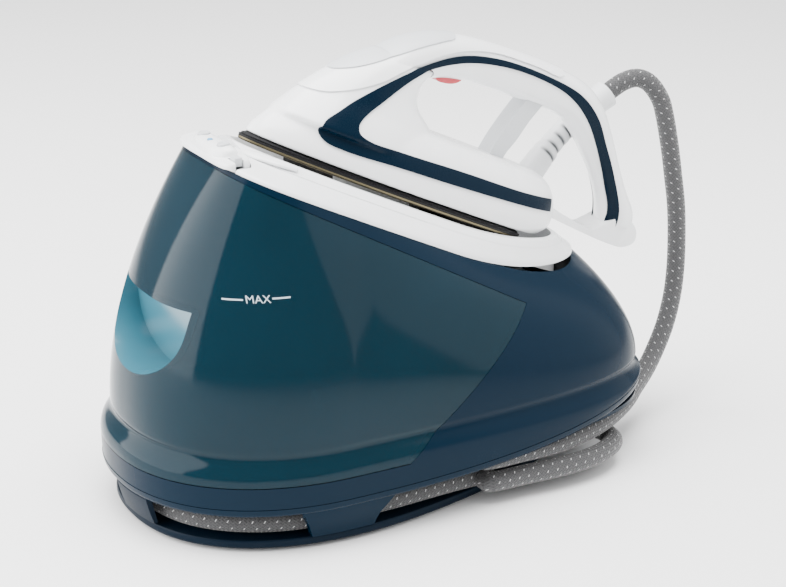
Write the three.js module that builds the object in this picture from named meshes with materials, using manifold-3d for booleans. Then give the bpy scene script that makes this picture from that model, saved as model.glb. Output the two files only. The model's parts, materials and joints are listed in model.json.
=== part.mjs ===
// Steam generator iron: a base with water tank, boiler and hose channel, and the iron on its platform.
// Millimetres, +Z up, tank and iron nose towards -Y. Origin at floor level under the middle of the object.
import * as THREE from 'three';
import { mergeVertices, toCreasedNormals } from 'three/addons/utils/BufferGeometryUtils.js';
import Module from 'manifold-3d';

const wasm = await Module();
wasm.setup();

// ---- driving sizes ----
const middleY = 18;              // the shapes are drawn this far behind the origin, and moved forward at the end
const gap = 0.4;                 // clearance between neighbouring pieces
const wall = 3;                  // thickness of the base casing
const tankWall = 2.6;
const baseLevel = { half: 121, front: -204.5, rear: 222, mid: -73, frontPower: 2.2, rearPower: 3.6 };
const flare = { half: 126, front: -213, rear: 226, mid: -73, frontPower: 2.2, rearPower: 3.6 };
const rimLine = { half: 75, front: -133, rear: 182, mid: -40, frontPower: 3.6, rearPower: 2.4 };
const recessLine = { half: 58, front: -111, rear: 160, mid: 25, frontPower: 2.1, rearPower: 3.2 };
const trayLine = { half: 116, front: -202, rear: 195, mid: -60, frontPower: 2.3, rearPower: 1.6 };
const coreLine = { half: 84, front: -166, rear: 150, mid: -60, frontPower: 2.2, rearPower: 2.2 };
const shoulderZ = 80;            // widest level of the base above the flare
const tilt = 25 * Math.PI / 180; // nose-up angle of the parked iron
const nose = { y: -104.5, z: 283.4 };
const hoseRadius = 7.75;
const hoseOutlet = [52, 160];    // where the steam hose leaves the base, in the channel roof
const soleLine = { half: 54, front: 0, rear: 245, mid: 150, frontPower: 1.75, rearPower: 5 };

// ---- heights that follow the sloping top and the rising lower edge ----
const soleZ = y => nose.z - Math.tan(tilt) * (y - nose.y);
const rimZ = y => 210 - 0.478 * y + (y > 40 ? 0.0017 * (y - 40) ** 2 : 0);
const recessZ = y => soleZ(y) - 2.8 + (y > 50 ? 0.0015 * (y - 50) ** 2 : 0);
const edgeZ = y => 33 + (y > -60 ? 0.00035 * (y + 60) ** 2 : 0);

// ---- solids ----
function toSolid(geometry) {
  let g = geometry.clone();
  for (const name of Object.keys(g.attributes)) if (name !== 'position') g.deleteAttribute(name);
  g = mergeVertices(g, 1e-4);
  const tris = [];
  const index = g.index.array;
  for (let i = 0; i < index.length; i += 3) {
    const [a, b, c] = [index[i], index[i + 1], index[i + 2]];
    if (a !== b && b !== c && a !== c) tris.push(a, b, c);
  }
  return solidFrom(Array.from(g.attributes.position.array), tris);
}

function solidFrom(numbers, tris) {
  return new wasm.Manifold(new wasm.Mesh({
    numProp: 3, vertProperties: new Float32Array(numbers), triVerts: new Uint32Array(tris),
  }));
}

// A closed skin through rings of points; each ring runs the same way round.
function loft(rings) {
  const n = rings[0].length;
  const verts = rings.flat();
  const tris = [];
  for (let r = 0; r < rings.length - 1; r++) {
    for (let i = 0; i < n; i++) {
      const a = r * n + i, b = r * n + (i + 1) % n;
      tris.push(a, b, b + n, a, b + n, a + n);
    }
  }
  for (const [ring, start, turned] of [[rings[0], 0, true], [rings.at(-1), (rings.length - 1) * n, false]]) {
    const centre = [0, 1, 2].map(k => ring.reduce((sum, p) => sum + p[k], 0) / n);
    const c = verts.push(centre) - 1;
    for (let i = 0; i < n; i++) {
      const a = start + i, b = start + (i + 1) % n;
      if (turned) tris.push(c, b, a); else tris.push(c, a, b);
    }
  }
  return solidFrom(verts.flat(), tris);
}

function box(x0, x1, y0, y1, z0, z1) {
  const g = new THREE.BoxGeometry(x1 - x0, y1 - y0, z1 - z0);
  g.translate((x0 + x1) / 2, (y0 + y1) / 2, (z0 + z1) / 2);
  return toSolid(g);
}

// A round bar from one point along x, y or z.
function bar(axis, radius, from, length, sides = 24, endRadius = radius) {
  const g = new THREE.CylinderGeometry(endRadius, radius, length, sides);
  g.translate(0, length / 2, 0);
  if (axis === 'x') g.rotateZ(-Math.PI / 2);
  if (axis === 'z') g.rotateX(Math.PI / 2);
  g.translate(...from);
  return toSolid(g);
}

// An outline of [u, v] points pushed out along x, y or z between two stations.
function prism(points, axis, from, to) {
  const g = new THREE.ExtrudeGeometry(new THREE.Shape(points.map(p => new THREE.Vector2(...p))),
    { depth: to - from, bevelEnabled: false });
  g.translate(0, 0, from);
  const m = new THREE.Matrix4();
  if (axis === 'x') m.set(0, 0, 1, 0, 1, 0, 0, 0, 0, 1, 0, 0, 0, 0, 0, 1);
  if (axis === 'y') m.set(1, 0, 0, 0, 0, 0, -1, 0, 0, 1, 0, 0, 0, 0, 0, 1);
  g.applyMatrix4(m);
  return toSolid(g);
}

function tube(points, radius, sides, steps) {
  const section = new THREE.Shape(Array.from({ length: sides }, (_, i) => {
    const a = 2 * Math.PI * i / sides;
    return new THREE.Vector2(radius * Math.cos(a), radius * Math.sin(a));
  }));
  const path = new THREE.CatmullRomCurve3(points.map(p => new THREE.Vector3(...p)), false, 'centripetal');
  return toSolid(new THREE.ExtrudeGeometry(section, { steps, extrudePath: path, bevelEnabled: false }));
}

const join = (...solids) => solids.reduce((a, b) => a.add(b));

// ---- outlines ----
// Boat-shaped outline, with its own corner power in front of and behind the middle.
function outline(line, z, inset = 0, n = 44) {
  const points = [];
  for (let i = 0; i < n; i++) {
    const t = 2 * Math.PI * (i + 0.5) / n;
    const c = Math.cos(t), s = Math.sin(t);
    const power = s < 0 ? line.frontPower : line.rearPower;
    const reach = s < 0 ? line.mid - line.front - inset : line.rear - line.mid - inset;
    const x = (line.half - inset) * Math.sign(c) * Math.abs(c) ** (2 / power);
    const y = line.mid + Math.sign(s) * reach * Math.abs(s) ** (2 / power);
    points.push([x, y, typeof z === 'function' ? z(y) : z]);
  }
  return points;
}

// Ring of the domed flank between the shoulder (u = 0) and the platform rim (u = 1).
function flankRing(u, inset, lift = 0, n = 44) {
  const low = outline(baseLevel, shoulderZ, inset, n), high = outline(rimLine, rimZ, inset, n);
  return low.map((p, i) => {
    const q = high[i];
    return [p[0] + (q[0] - p[0]) * u ** 1.85, p[1] + (q[1] - p[1]) * u ** 1.85, p[2] + (q[2] + lift - p[2]) * u];
  });
}

const flankSteps = [0, 0.35, 0.6, 0.82, 1];

function flank(inset, bottom, lift, n = 44) {
  return loft([bottom, outline(flare, y => Math.max(60, edgeZ(y) + 8), inset, n),
    outline(flare, y => Math.max(68, edgeZ(y) + 10.5), inset + 2.5, n), outline(baseLevel, 75, inset + 1.5, n),
    ...flankSteps.map(u => flankRing(u, inset, lift, n))]);
}

// Side view of the tank bay: floor, slanted back wall and sloping roof, grown by g.
function bay(g, xHalf = 160) {
  const slant = z => 10 + 1.3 * (z - 87) + g / 0.61;
  const roof = y => 209 - 0.54 * (y + 21) + 1.136 * g;
  let z = 155;
  for (let i = 0; i < 40; i++) z = roof(slant(z)) * 0.4 + z * 0.6;
  const floor = 56 - g;
  return prism([[-300, floor], [slant(floor), floor], [slant(z), z], [-300, roof(-300)]], 'x', -xHalf, xHalf);
}

// ---- group and materials ----
const object = new THREE.Group();
object.name = 'steam_generator_iron';
const stand = new THREE.Group();
stand.position.y = -middleY;
object.add(stand);
const iron = new THREE.Group();
iron.name = 'iron_parked';
iron.position.set(0, nose.y, nose.z);
iron.rotation.x = -tilt;
stand.add(iron);

const paint = (color, roughness, metalness = 0) => ({ color, roughness, metalness });
const looks = {
  white: paint(0xe9ebec, 0.35), grey: paint(0xb9bcbf, 0.4), navy: paint(0x143e5c, 0.25),
  darkNavy: paint(0x0e2c42, 0.4), black: paint(0x17181a, 0.6), tank: paint(0x2c5a70, 0.1),
  sole: paint(0x8a8168, 0.3, 0.9), steel: paint(0xb4b7ba, 0.3, 1), brass: paint(0xb08d45, 0.35, 1),
  casting: paint(0x9a9c9e, 0.6, 0.9), red: paint(0xb5303a, 0.4), rubber: paint(0x2a2b2d, 0.9),
  board: paint(0x1f6b3c, 0.6), silicone: paint(0xd8d6cf, 0.6), hose: paint(0x77797c, 0.9),
  lens: paint(0x3aa0d8, 0.2),
};

function add(name, solid, look, parent = stand) {
  const mesh = solid.getMesh();
  const g = new THREE.BufferGeometry();
  const stride = mesh.numProp, data = mesh.vertProperties;
  const numbers = new Float32Array(data.length / stride * 3);
  for (let i = 0; i < data.length / stride; i++) numbers.set(data.subarray(i * stride, i * stride + 3), i * 3);
  g.setAttribute('position', new THREE.BufferAttribute(numbers, 3));
  g.setIndex(Array.from(mesh.triVerts));
  const node = new THREE.Mesh(toCreasedNormals(g, 0.5), new THREE.MeshStandardMaterial(looks[look]));
  node.name = name;
  parent.add(node);
  return node;
}

// ================= base =================

// Floor tray with the upright core that carries the housing, and the pillars at the outer edge.
function baseTray() {
  const plate = loft([outline(trayLine, 2.4, 1.5), outline(trayLine, 4, -0.6), outline(trayLine, 9.5, -0.6)]);
  let core = loft([outline(coreLine, 8, 0), outline(coreLine, 45.6, 2)]);
  core = core.intersect(box(-100, 100, -200, 92, 0, 60));
  const spine = box(18, 42, 80, 168, 8, 45.6);
  const room = loft([outline(coreLine, 9.6, 4), outline(coreLine, 60, 6)]).intersect(box(-100, 100, -200, 88, 0, 70));
  return join(plate, core, spine).subtract(room);
}

// Pillar that hangs from the housing and stands on the tray, outside the hose.
function pillar(side) {
  const ring = loft([outline(flare, 9.5 + gap, 9), outline(flare, 38, 2.2)])
    .subtract(loft([outline(flare, 5, 15), outline(flare, 42, 8)]));
  const window = prism([[-104, 5], [-58, 5], [-36, 39.5], [-118, 39.5]], 'x', side > 0 ? 40 : -140, side > 0 ? 140 : -40);
  return ring.intersect(window);
}

// Lip in front that keeps the stored hose in its channel.
function hoseClip() {
  return loft([outline(flare, 11, 8, 88), outline(flare, 32.2, 2.4, 88)])
    .subtract(loft([outline(flare, 5, 12.4, 88), outline(flare, 36, 5.6, 88)])).intersect(box(-2, 40, -230, -180, 11, 32.2));
}

function foot(x, y) {
  return bar('z', 11, [x, y, 0], 2, 24, 12);
}

// Pan under the working parts: roof of the hose channel, with its own rim below the body seam.
function lowerHousing() {
  const seam = y => edgeZ(y) + 6 - gap;
  const rim = loft([outline(flare, edgeZ, 1.6), outline(flare, seam, 0.6)])
    .subtract(loft([outline(flare, y => edgeZ(y) - 2, 4.4), outline(flare, y => seam(y) + 2, 4.4)]));
  const pan = loft([outline(flare, 46, 3.8), outline(flare, 49, 3.8)]);
  let saddles = join(box(-50, -40, 105, 145, 48, 90), box(40, 50, 105, 145, 48, 90));
  saddles = saddles.subtract(bar('x', 38 + gap, [-80, 125, 108], 160, 40));
  const post = join(box(-80, -50, 38, 72, 48, 60), box(36, 92, 16, 22, 48, 62), box(36, 92, 70, 76, 48, 62));
  return join(pan, rim, saddles, post, pillarBridge(1), pillarBridge(-1))
    .subtract(bar('z', 9, [...hoseOutlet, 40], 20, 24));
}

const pillarBridge = side => pillar(side);

function bodyShell() {
  const seam = y => edgeZ(y) + 6;
  const outer = flank(0, outline(flare, seam, 0.6), 0);
  const inner = flank(wall, outline(flare, y => seam(y) - 2, wall + 0.6), 2);
  const room = inner.subtract(bay(gap + wall)).subtract(box(-160, 160, -300, -36, 52, 56));
  const ports = join(
    bar('y', 9, [0, -45, 66], 60, 24),
    bar('x', 21, [-140, 140, 100], 70, 32),
    bar('y', 7 + gap, [-50, 180, 92], 60, 20),
  );
  return outer.subtract(room).subtract(bay(gap)).subtract(ports);
}

// White platform frame: sloping rim, and the sunken tub that the soleplate is parked over.
function platform() {
  const rim = loft([outline(rimLine, y => rimZ(y) + gap, 0), outline(rimLine, y => rimZ(y) + 3, 0),
    outline(recessLine, recessZ, -2), outline(recessLine, y => recessZ(y) + 0.4, -0.5)]);
  const under = loft([outline(rimLine, y => rimZ(y) - 3, 4), outline(recessLine, y => recessZ(y) - 4, -2)]);
  const floor = y => soleZ(y) - 14;
  const tub = loft([outline(recessLine, y => floor(y) - 2.6, 0), outline(recessLine, y => recessZ(y) - 1, 0)]);
  const well = loft([outline(recessLine, floor, 2.6), outline(recessLine, y => recessZ(y) + 8, 2.6)]);
  const panelSeat = box(-50, 50, -150, -112, 200, 320);
  return rim.subtract(under).add(tub).subtract(well).subtract(panelSeat);
}

function restPad(x0, x1, y0, y1) {
  const low = y => soleZ(y) - 14 + gap, high = y => soleZ(y) - 0.5;
  const corners = [[x0, y0], [x1, y0], [x1, y1], [x0, y1]];
  return loft([corners.map(([x, y]) => [x, y, low(y)]), corners.map(([x, y]) => [x * 0.96, y, high(y)])]);
}

// D-shaped finger pocket in the front of the tank, grown by g.
function gripPocket(g) {
  const points = [[-58 - g, 178 + g]];
  for (let i = 0; i <= 14; i++) {
    const t = Math.PI * i / 14;
    points.push([-(58 + g) * Math.cos(t), 165 - (44 + g) * Math.sin(t) ** 0.8]);
  }
  points.push([58 + g, 178 + g]);
  return prism(points, 'y', 165 - g, 260);
}

function waterTank() {
  const outer = flank(0, outline(flare, 56 + gap, 0), 0).intersect(bay(0));
  const inner = flank(tankWall, outline(flare, 56 + tankWall, tankWall), -2).intersect(bay(-tankWall));
  const filler = bar('z', 17, [0, -70, 200], 60, 32);
  const outlet = bar('y', 6 + gap, [0, -60, 66], 60, 24);
  return outer.subtract(gripPocket(0)).subtract(inner.subtract(gripPocket(tankWall)))
    .subtract(filler).subtract(outlet);
}

function tankValve() {
  return join(bar('y', 6, [0, -40, 66], 52, 24), bar('y', 6.8, [0, -46, 66], 6, 24))
    .subtract(bar('y', 3, [0, -60, 66], 70, 16));
}

function tankSocket() {
  return bar('y', 11, [0, 7, 66], 16, 24).subtract(bar('y', 6 + gap, [0, 0, 66], 17, 24))
    .subtract(bar('y', 3, [0, -10, 66], 40, 16));
}

// Control panel in front of the parked nose: domed cover with a raised hood.
const panelLine = { half: 45, front: -136.5, rear: -113, mid: -124, frontPower: 5, rearPower: 6 };
const hoodLine = { half: 30, front: -135, rear: -113.5, mid: -122, frontPower: 2.6, rearPower: 3 };

function controlPanel() {
  const top = y => 277.5 + (y + 139) * 0.12;
  const bottom = y => Math.min(274.2, rimZ(y) + 0.8);
  const cover = loft([outline(panelLine, bottom, 0.6, 28), outline(panelLine, y => top(y) - 1.2, 0, 28),
    outline(panelLine, top, 1.5, 28)]);
  const hood = loft([outline(hoodLine, 276, 0, 28), outline(hoodLine, 281, 1, 28),
    outline(hoodLine, 284, 3, 28), outline(hoodLine, 285.5, 7, 28)]);
  const hollow = join(loft([outline(panelLine, 258, 3, 28), outline(panelLine, 274.5, 3, 28)]),
    loft([outline(hoodLine, 270, 2.6, 28), outline(hoodLine, 281, 3, 28), outline(hoodLine, 282.6, 5, 28)]));
  const wells = join(bar('z', 4.6 + gap, [-17, -124, 260], 40, 20), bar('z', 4.6 + gap, [17, -124, 260], 40, 20),
    bar('z', 2 + gap, [0, -127, 260], 40, 16), box(38 - gap - 7, 38 + gap + 7, -127.5, -120.5, 260, 290));
  return cover.add(hood).subtract(hollow).subtract(wells);
}

const panelButton = x => join(bar('z', 4.6, [x, -124, 278], 8.8, 20), bar('z', 5.6, [x, -124, 277.8], 2.2, 20));

// ---- steam hose: outlet in the base, round the channel, back above itself, and up to the iron ----
function channelPoint(angle, inset, z) {
  const t = angle * Math.PI / 180;
  const c = Math.cos(t), s = Math.sin(t);
  const power = s < 0 ? flare.frontPower : flare.rearPower;
  const reach = s < 0 ? flare.mid - flare.front - inset : flare.rear - flare.mid - inset;
  return [(flare.half - inset) * Math.sign(c) * Math.abs(c) ** (2 / power),
    flare.mid + Math.sign(s) * reach * Math.abs(s) ** (2 / power), z];
}

const channel = (from, to, step, z) => {
  const points = [];
  for (let a = from; step < 0 ? a >= to : a <= to; a += step) points.push(channelPoint(a, 25, z));
  return points;
};

const hoseRoute = [
  [...hoseOutlet, 39.2], [...hoseOutlet, 35.5], [54, 163.4, 28], [62, 171, 20.6], [76, 177.5, 18.2], [92, 175, 18], [105, 158, 18],
  [112, 135, 18], [114, 108, 18], [113, 80, 18], [110, 45, 18],
  ...channel(14, -194, -13, 18),
  [-99, 50, 18], [-86, 84, 18], [-60, 112, 18.5], [-28, 130, 20], [-8, 137, 22], [6, 159, 25], [-6, 180, 28],
  [-28, 187, 31], [-56, 180, 34], [-82, 155, 35], [-97, 115, 35], [-102, 70, 35],
  ...channel(-195, 13, 13, 35),
  [105.5, 45, 34.6], [107.3, 80, 34.4], [106.5, 112, 34.4], [101, 135, 34.5], [91, 162, 34.6], [77, 187, 35],
  [64, 206, 35.6], [50, 223, 37.4], [35, 245, 43.8], [26, 259.5, 52.5], [17, 277, 72.3], [10, 288.7, 95],
  [5, 294.7, 119.3], [0, 298, 144], [-4, 298.9, 169.3], [-8, 297.3, 194.7], [-12, 295.2, 220], [-17, 292.4, 245],
  [-20.5, 290, 258], [-25, 280.5, 272.5], [-28, 270.5, 277], [-30.6, 259, 274.8],
  [-31.8, 250.2, 270.2], [-32, 243.3, 266.4],
];
const hoseCurve = new THREE.CatmullRomCurve3(hoseRoute.map(p => new THREE.Vector3(...p)), false, 'centripetal');

class Stretch extends THREE.Curve {
  constructor(from, to) { super(); this.from = from; this.to = to; }
  getPoint(t, target) { return hoseCurve.getPointAt(this.from + (this.to - this.from) * t, target); }
}

function hoseTube(from, to, steps) {
  const section = new THREE.Shape(Array.from({ length: 8 }, (_, i) =>
    new THREE.Vector2(hoseRadius * Math.cos(i * Math.PI / 4), hoseRadius * Math.sin(i * Math.PI / 4))));
  return toSolid(new THREE.ExtrudeGeometry(section, { steps, extrudePath: new Stretch(from, to), bevelEnabled: false }));
}

// ================= iron, in its own axes: y back from the nose, z up from the sole =================

// Rows of [height, half width, front, rear].
const lowerLevels = [[10, 54, 3, 266], [16, 55, 7, 275], [26, 53, 14, 276], [36, 49, 21, 274], [44, 44, 27, 269],
  [50, 37, 32, 262], [53.5, 27, 38, 252]];
const bonnetLevels = [[30, 46, 17, 154], [44, 41, 27, 150], [54, 36, 35, 146], [67, 31, 47, 128], [80, 27, 60, 124],
  [90, 24, 72, 128], [97, 20, 82, 134]];
// Rows of [y, z, half width, half thickness] along the middle of the handle loop.
const handleStations = [[92, 80.5, 22, 16.5, 0], [109, 96.5, 21, 16.5, 0], [130, 108, 19.5, 16.5, 0],
  [158, 114.5, 18, 16.5, 0], [200, 117.5, 17.5, 17, 0], [240, 118.5, 17.5, 16.8, 0], [266, 116.5, 17.5, 16.5, 0],
  [284, 108.5, 17, 16.3, 0.08], [301.2, 95, 15.8, 14.6, 0.2], [322, 75.4, 14.4, 12.4, 0.28], [338, 58, 14.4, 12.8, 0.28],
  [350, 43, 16, 15.8, 0.2], [353, 35, 16, 15.6, 0.2]];

function levels(rows, grow, midShare, frontPower, rearPower) {
  return loft(rows.map(([z, half, front, rear], i) => outline(
    { half, front, rear, mid: front + (rear - front) * midShare, frontPower, rearPower },
    z + (i === 0 ? -Math.abs(grow) : i === rows.length - 1 ? grow : 0), -grow, 32)));
}

const lowerBody = grow => levels(lowerLevels, grow, 0.55, 1.8, 3.4);
const bonnet = grow => levels(bonnetLevels, grow, 0.6, 2, 2.4);

function handleLoop(grow) {
  const rows = handleStations;
  return loft(rows.map(([y, z, half, thick, taper], i) => {
    const [ya, za] = rows[Math.max(i - 1, 0)], [yb, zb] = rows[Math.min(i + 1, rows.length - 1)];
    const length = Math.hypot(yb - ya, zb - za);
    const dy = (yb - ya) / length, dz = (zb - za) / length;
    const end = i === 0 ? -grow : i === rows.length - 1 ? grow : 0;
    return Array.from({ length: 16 }, (_, k) => {
      const t = 2 * Math.PI * k / 16;
      const a = (half + grow) * (1 - taper * Math.max(0, Math.sin(t))) * Math.sign(Math.cos(t)) * Math.abs(Math.cos(t)) ** 0.85;
      const b = (thick + grow) * Math.sign(Math.sin(t)) * Math.abs(Math.sin(t)) ** 0.85;
      return [a, y + dz * b + dy * end, z - dy * b + dz * end];
    });
  }));
}

const heelPlate = half => prism([[272.5, 24], [293, 22], [346, 18.6], [362, 20], [371, 27], [369, 36], [352, 44],
  [334, 31], [326, 25.4], [293, 28.5], [272.5, 31]], 'x', -half, half);

const pillarSide = [[207, 52], [220, 52], [226, 70], [238, 106], [222, 106], [211.5, 74]];

const bootPath = new THREE.CatmullRomCurve3([[-12, 262, 38], [-21, 276, 62], [-28, 291, 87], [-31, 306, 109],
  [-32, 322, 131]].map(p => new THREE.Vector3(...p)), false, 'centripetal');
function boot(grow) {
  const rows = [[0, 11], [0.15, 11], [0.34, 10.5], [0.38, 9.2], [0.62, 9], [0.84, 9], [0.88, 10.8], [1, 12]];
  return loft(rows.map(([t, r]) => {
    const centre = bootPath.getPointAt(t), d = bootPath.getTangentAt(t);
    const u = new THREE.Vector3(1, 0, 0).addScaledVector(d, -d.x).normalize();
    const v = d.clone().cross(u);
    return Array.from({ length: 16 }, (_, k) => {
      const w = 2 * Math.PI * k / 16;
      return centre.clone().addScaledVector(u, (r + grow) * Math.cos(w))
        .addScaledVector(v, (r + grow) * Math.sin(w)).toArray();
    });
  }));
}

const triggerSlot = g => box(-6 - g, 6 + g, 136 - g, 159 + g, 84, 106);

function soleplate() {
  return loft([outline(soleLine, 0, 1.2), outline(soleLine, 0.8, 0.2), outline(soleLine, 4, 0)]);
}

function steamChamber() {
  const body = loft([outline(soleLine, 4 + gap, 9), outline(soleLine, 9, 9), outline(soleLine, 12, 13), outline(soleLine, 18, 16)]);
  const ducts = join(box(-3, 3, 60, 200, 14, 20), box(-26, 26, 150, 156, 14, 20));
  return body.subtract(ducts);
}

function heatSkirt() {
  return loft([outline(soleLine, 4 + gap, 1.5), outline(soleLine, 9.5, 2)])
    .subtract(loft([outline(soleLine, 3, 7), outline(soleLine, 11, 7)]));
}

function ironShell() {
  const inner = join(lowerBody(-2.6), bonnet(-2.6));
  return join(lowerBody(0), bonnet(0)).subtract(inner).subtract(boot(gap)).subtract(prism(pillarSide, 'x', -9.4, 9.4));
}

function handleShell() {
  const inner = handleLoop(-3);
  const outer = join(handleLoop(0), heelPlate(15));
  return outer.subtract(inner).subtract(bonnet(gap)).subtract(lowerBody(gap)).subtract(triggerSlot(gap))
    .subtract(prism(pillarSide, 'x', -9.4, 9.4));
}

const coverSide = [[31, 52], [43, 55], [56, 61], [69, 68.5], [83, 78], [94, 87.5], [110, 99.5], [125, 110.3], [141, 118.6],
  [158, 124.3], [177, 128], [197, 129.3], [217, 129.8], [237, 129.2], [241.5, 132], [241, 150], [60, 160], [0, 80]];
const insertSide = [[49, 72], [65, 81.5], [85, 95], [106, 110], [125, 121], [134, 125.5], [139, 131], [130, 155], [50, 150], [20, 90]];

function topCover() {
  return join(handleLoop(1.3), bonnet(1.3)).subtract(join(handleLoop(gap), bonnet(gap), lowerBody(gap)))
    .intersect(prism(coverSide, 'x', -30, 30));
}

function topInsert() {
  return join(handleLoop(2.6), bonnet(2.6)).subtract(join(handleLoop(1.7), bonnet(1.7)))
    .intersect(prism(insertSide, 'x', -19, 19));
}

// Edges of the dark ribbon on each flank: heel, handle, point behind the nose, and the arm along the body.
const ribbonOuter = [[343, 24], [344.6, 36], [341, 50], [320, 76], [303, 92.5], [286, 108.6], [262, 120.4], [228, 125.6],
  [178, 124.3], [141, 115], [110.6, 96.5], [80, 72.2], [54, 46.3], [44, 34], [43.5, 26], [49, 21.4], [64.5, 20],
  [108, 22.4], [162, 24.3], [235, 27.5], [259, 29]];
const ribbonInner = [[259, 38.5], [221, 36.4], [160, 35.4], [106, 33.3], [79, 33], [70, 36], [68.6, 42], [82.5, 60.7],
  [111.4, 91], [144, 110], [180, 119.4], [219, 121.7], [252, 117.5], [279, 104.5], [310, 77], [325, 60], [334.6, 48],
  [339.4, 38], [339.5, 27]];

function ribbonOutline() {
  const edge = (rows, n) => new THREE.CatmullRomCurve3(rows.map(([y, z]) => new THREE.Vector3(y, z, 0)), false,
    'centripetal').getPoints(n).map(p => [p.x, p.y]);
  return edge(ribbonOuter, 34).concat(edge(ribbonInner, 30));
}

function sideTrim(side) {
  const skin = join(lowerBody(1.3), bonnet(1.3), handleLoop(1.3))
    .subtract(join(lowerBody(gap), bonnet(gap), handleLoop(gap)));
  return skin.intersect(prism(ribbonOutline(), 'x', side > 0 ? 9 : -62, side > 0 ? 62 : -9)).subtract(boot(gap))
    .subtract(heelPlate(15 + gap));
}

function trigger() {
  return prism([[136, 95], [140, 91.3], [151, 92.8], [159, 98], [159, 102], [136, 102]], 'x', -6, 6);
}

const boilerAxis = [125, 108];
function boiler() {
  const can = join(bar('x', 38, [-60, ...boilerAxis], 120, 40), bar('x', 38, [60, ...boilerAxis], 5, 40, 30),
    bar('x', 30, [-65, ...boilerAxis], 5, 40, 38));
  return can.subtract(bar('x', 35.5, [-61, ...boilerAxis], 122, 40)).subtract(bar('x', 2.4, [-70, 119, 105], 20, 12));
}

const coil = (radius, from, axis, length) => bar(axis, radius, from, length, 16).subtract(
  bar(axis, radius - 1, from.map((v, i) => v - ({ x: 0, y: 1, z: 2 }[axis] === i ? 1 : 0)), length + 2, 16));

// ================= assembly =================
add('base_tray', baseTray(), 'darkNavy');
add('foot_front_left', foot(-62, -130), 'rubber');
add('foot_front_right', foot(62, -130), 'rubber');
add('foot_rear_left', foot(-48, 95), 'rubber');
add('foot_rear_right', foot(48, 95), 'rubber');
add('lower_housing', lowerHousing(), 'navy');
add('body_shell', bodyShell(), 'navy');
add('iron_platform', platform(), 'white');
add('rest_pad_front', restPad(-14, 14, -62, -34), 'rubber');
add('rest_pad_rear_left', restPad(-42, -24, 62, 92), 'rubber');
add('rest_pad_rear_right', restPad(24, 42, 62, 92), 'rubber');
add('control_panel', controlPanel(), 'white');
add('power_button', panelButton(-17), 'grey');
add('eco_button', panelButton(17), 'grey');
add('status_light', bar('z', 2, [0, -127, 276.8], 9.4, 16), 'lens');
add('panel_lock_slider', box(38 - 4, 38 + 4, -127, -121, 275, 281.5), 'grey');
add('control_board', box(-22, 22, -128, -118, 275, 276.3), 'board');
add('water_tank', waterTank(), 'tank');
add('tank_valve', tankValve(), 'grey');
add('tank_socket', tankSocket(), 'black');

add('boiler', boiler(), 'steel');
add('heating_element', box(-36, 36, 110, 140, 62, 69).subtract(box(-28, 28, 118, 132, 60, 70)), 'brass');
add('boiler_thermostat', bar('x', 9, [65.4, 118, 112], 12, 20), 'black');
add('safety_valve', bar('z', 6, [-30, 125, 146.4], 8, 6), 'brass');
add('steam_valve', join(box(66, 88, 122, 148, 60, 84), bar('z', 9, [77, 135, 84], 12, 20)), 'brass');
add('pump', join(bar('y', 15, [-65, 28, 76], 48, 24), box(-78, -52, 40, 70, 60.4, 70)), 'black');
add('suction_tube', tube([[0, 23.6, 66], [0, 28, 66], [-5, 34, 67], [-16, 36, 69], [-30, 30, 72], [-48, 19, 75], [-60, 16, 76], [-65, 21, 76], [-65, 27.4, 76]], 4, 8, 14), 'silicone');
add('feed_tube', tube([[-65, 76.6, 76], [-65, 81, 76], [-70, 90, 80], [-77, 102, 92], [-79, 114, 102], [-76, 119, 105], [-70, 119, 105], [-65.6, 119, 105]], 4, 8, 14), 'silicone');
add('steam_tube', tube([[77, 148.6, 72], [77, 153, 72], [73, 159, 71.5], [62, 161, 70], [54, 160.4, 66], [52, 160, 61], [52, 160, 57]], 4, 8, 14), 'silicone');
add('power_board', join(box(34, 94, 14, 78, 62.4, 64), box(40, 58, 22, 40, 64, 76), box(64, 84, 50, 70, 64, 78)), 'board');
add('scale_collector', bar('x', 14, [-92, 140, 100], 24, 24).subtract(bar('x', 11, [-90, 140, 100], 30, 24)), 'grey');
add('collector_cap', join(bar('x', 20, [-108, 140, 100], 15, 32), box(-114, -107, 136.5, 143.5, 84, 116)), 'darkNavy');
add('mains_gland', join(bar('y', 7, [-50, 206, 92], 20, 20), bar('y', 10, [-50, 223, 92], 7, 20)), 'black');
add('hose_outlet', bar('z', 8.6, [...hoseOutlet, 40], 16.6, 24), 'black');
add('hose_clip', hoseClip(), 'darkNavy');

let ironSplit = 0.9;           // the hose parts where it hangs straight, behind the base
while (hoseCurve.getPointAt(ironSplit).z < 152) ironSplit += 0.0005;
add('steam_hose', hoseTube(0, ironSplit - 0.0004, 56), 'hose');
add('steam_hose_iron_end', hoseTube(ironSplit, 1, 10), 'hose');

add('soleplate', soleplate(), 'sole', iron);
add('steam_chamber', steamChamber(), 'casting', iron);
add('heat_skirt', heatSkirt(), 'black', iron);
add('iron_shell', ironShell(), 'white', iron);
add('handle_shell', handleShell(), 'white', iron);
add('handle_top_cover', topCover(), 'white', iron);
add('handle_top_insert', topInsert(), 'grey', iron);
add('side_trim_left', sideTrim(-1), 'navy', iron);
add('side_trim_right', sideTrim(1), 'navy', iron);
add('handle_pillar', prism(pillarSide, 'x', -9, 9), 'grey', iron);
add('hose_boot', boot(0), 'grey', iron);
add('steam_trigger', trigger(), 'red', iron);
add('trigger_switch', box(-5, 5, 146, 158, 105.2, 113), 'black', iron);
add('trigger_spring', coil(3.4, [0, 140.5, 102.4], 'z', 5), 'steel', iron);
add('terminal_block', box(-16, 16, 205, 228, 24, 36), 'black', iron);
add('iron_thermostat', bar('z', 9, [0, 120, 20.4], 9, 20), 'steel', iron);

export default object;
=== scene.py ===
import json
import math
import bmesh
import bpy
import numpy as np
from mathutils import Matrix, Vector
from mathutils.bvhtree import BVHTree


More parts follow.
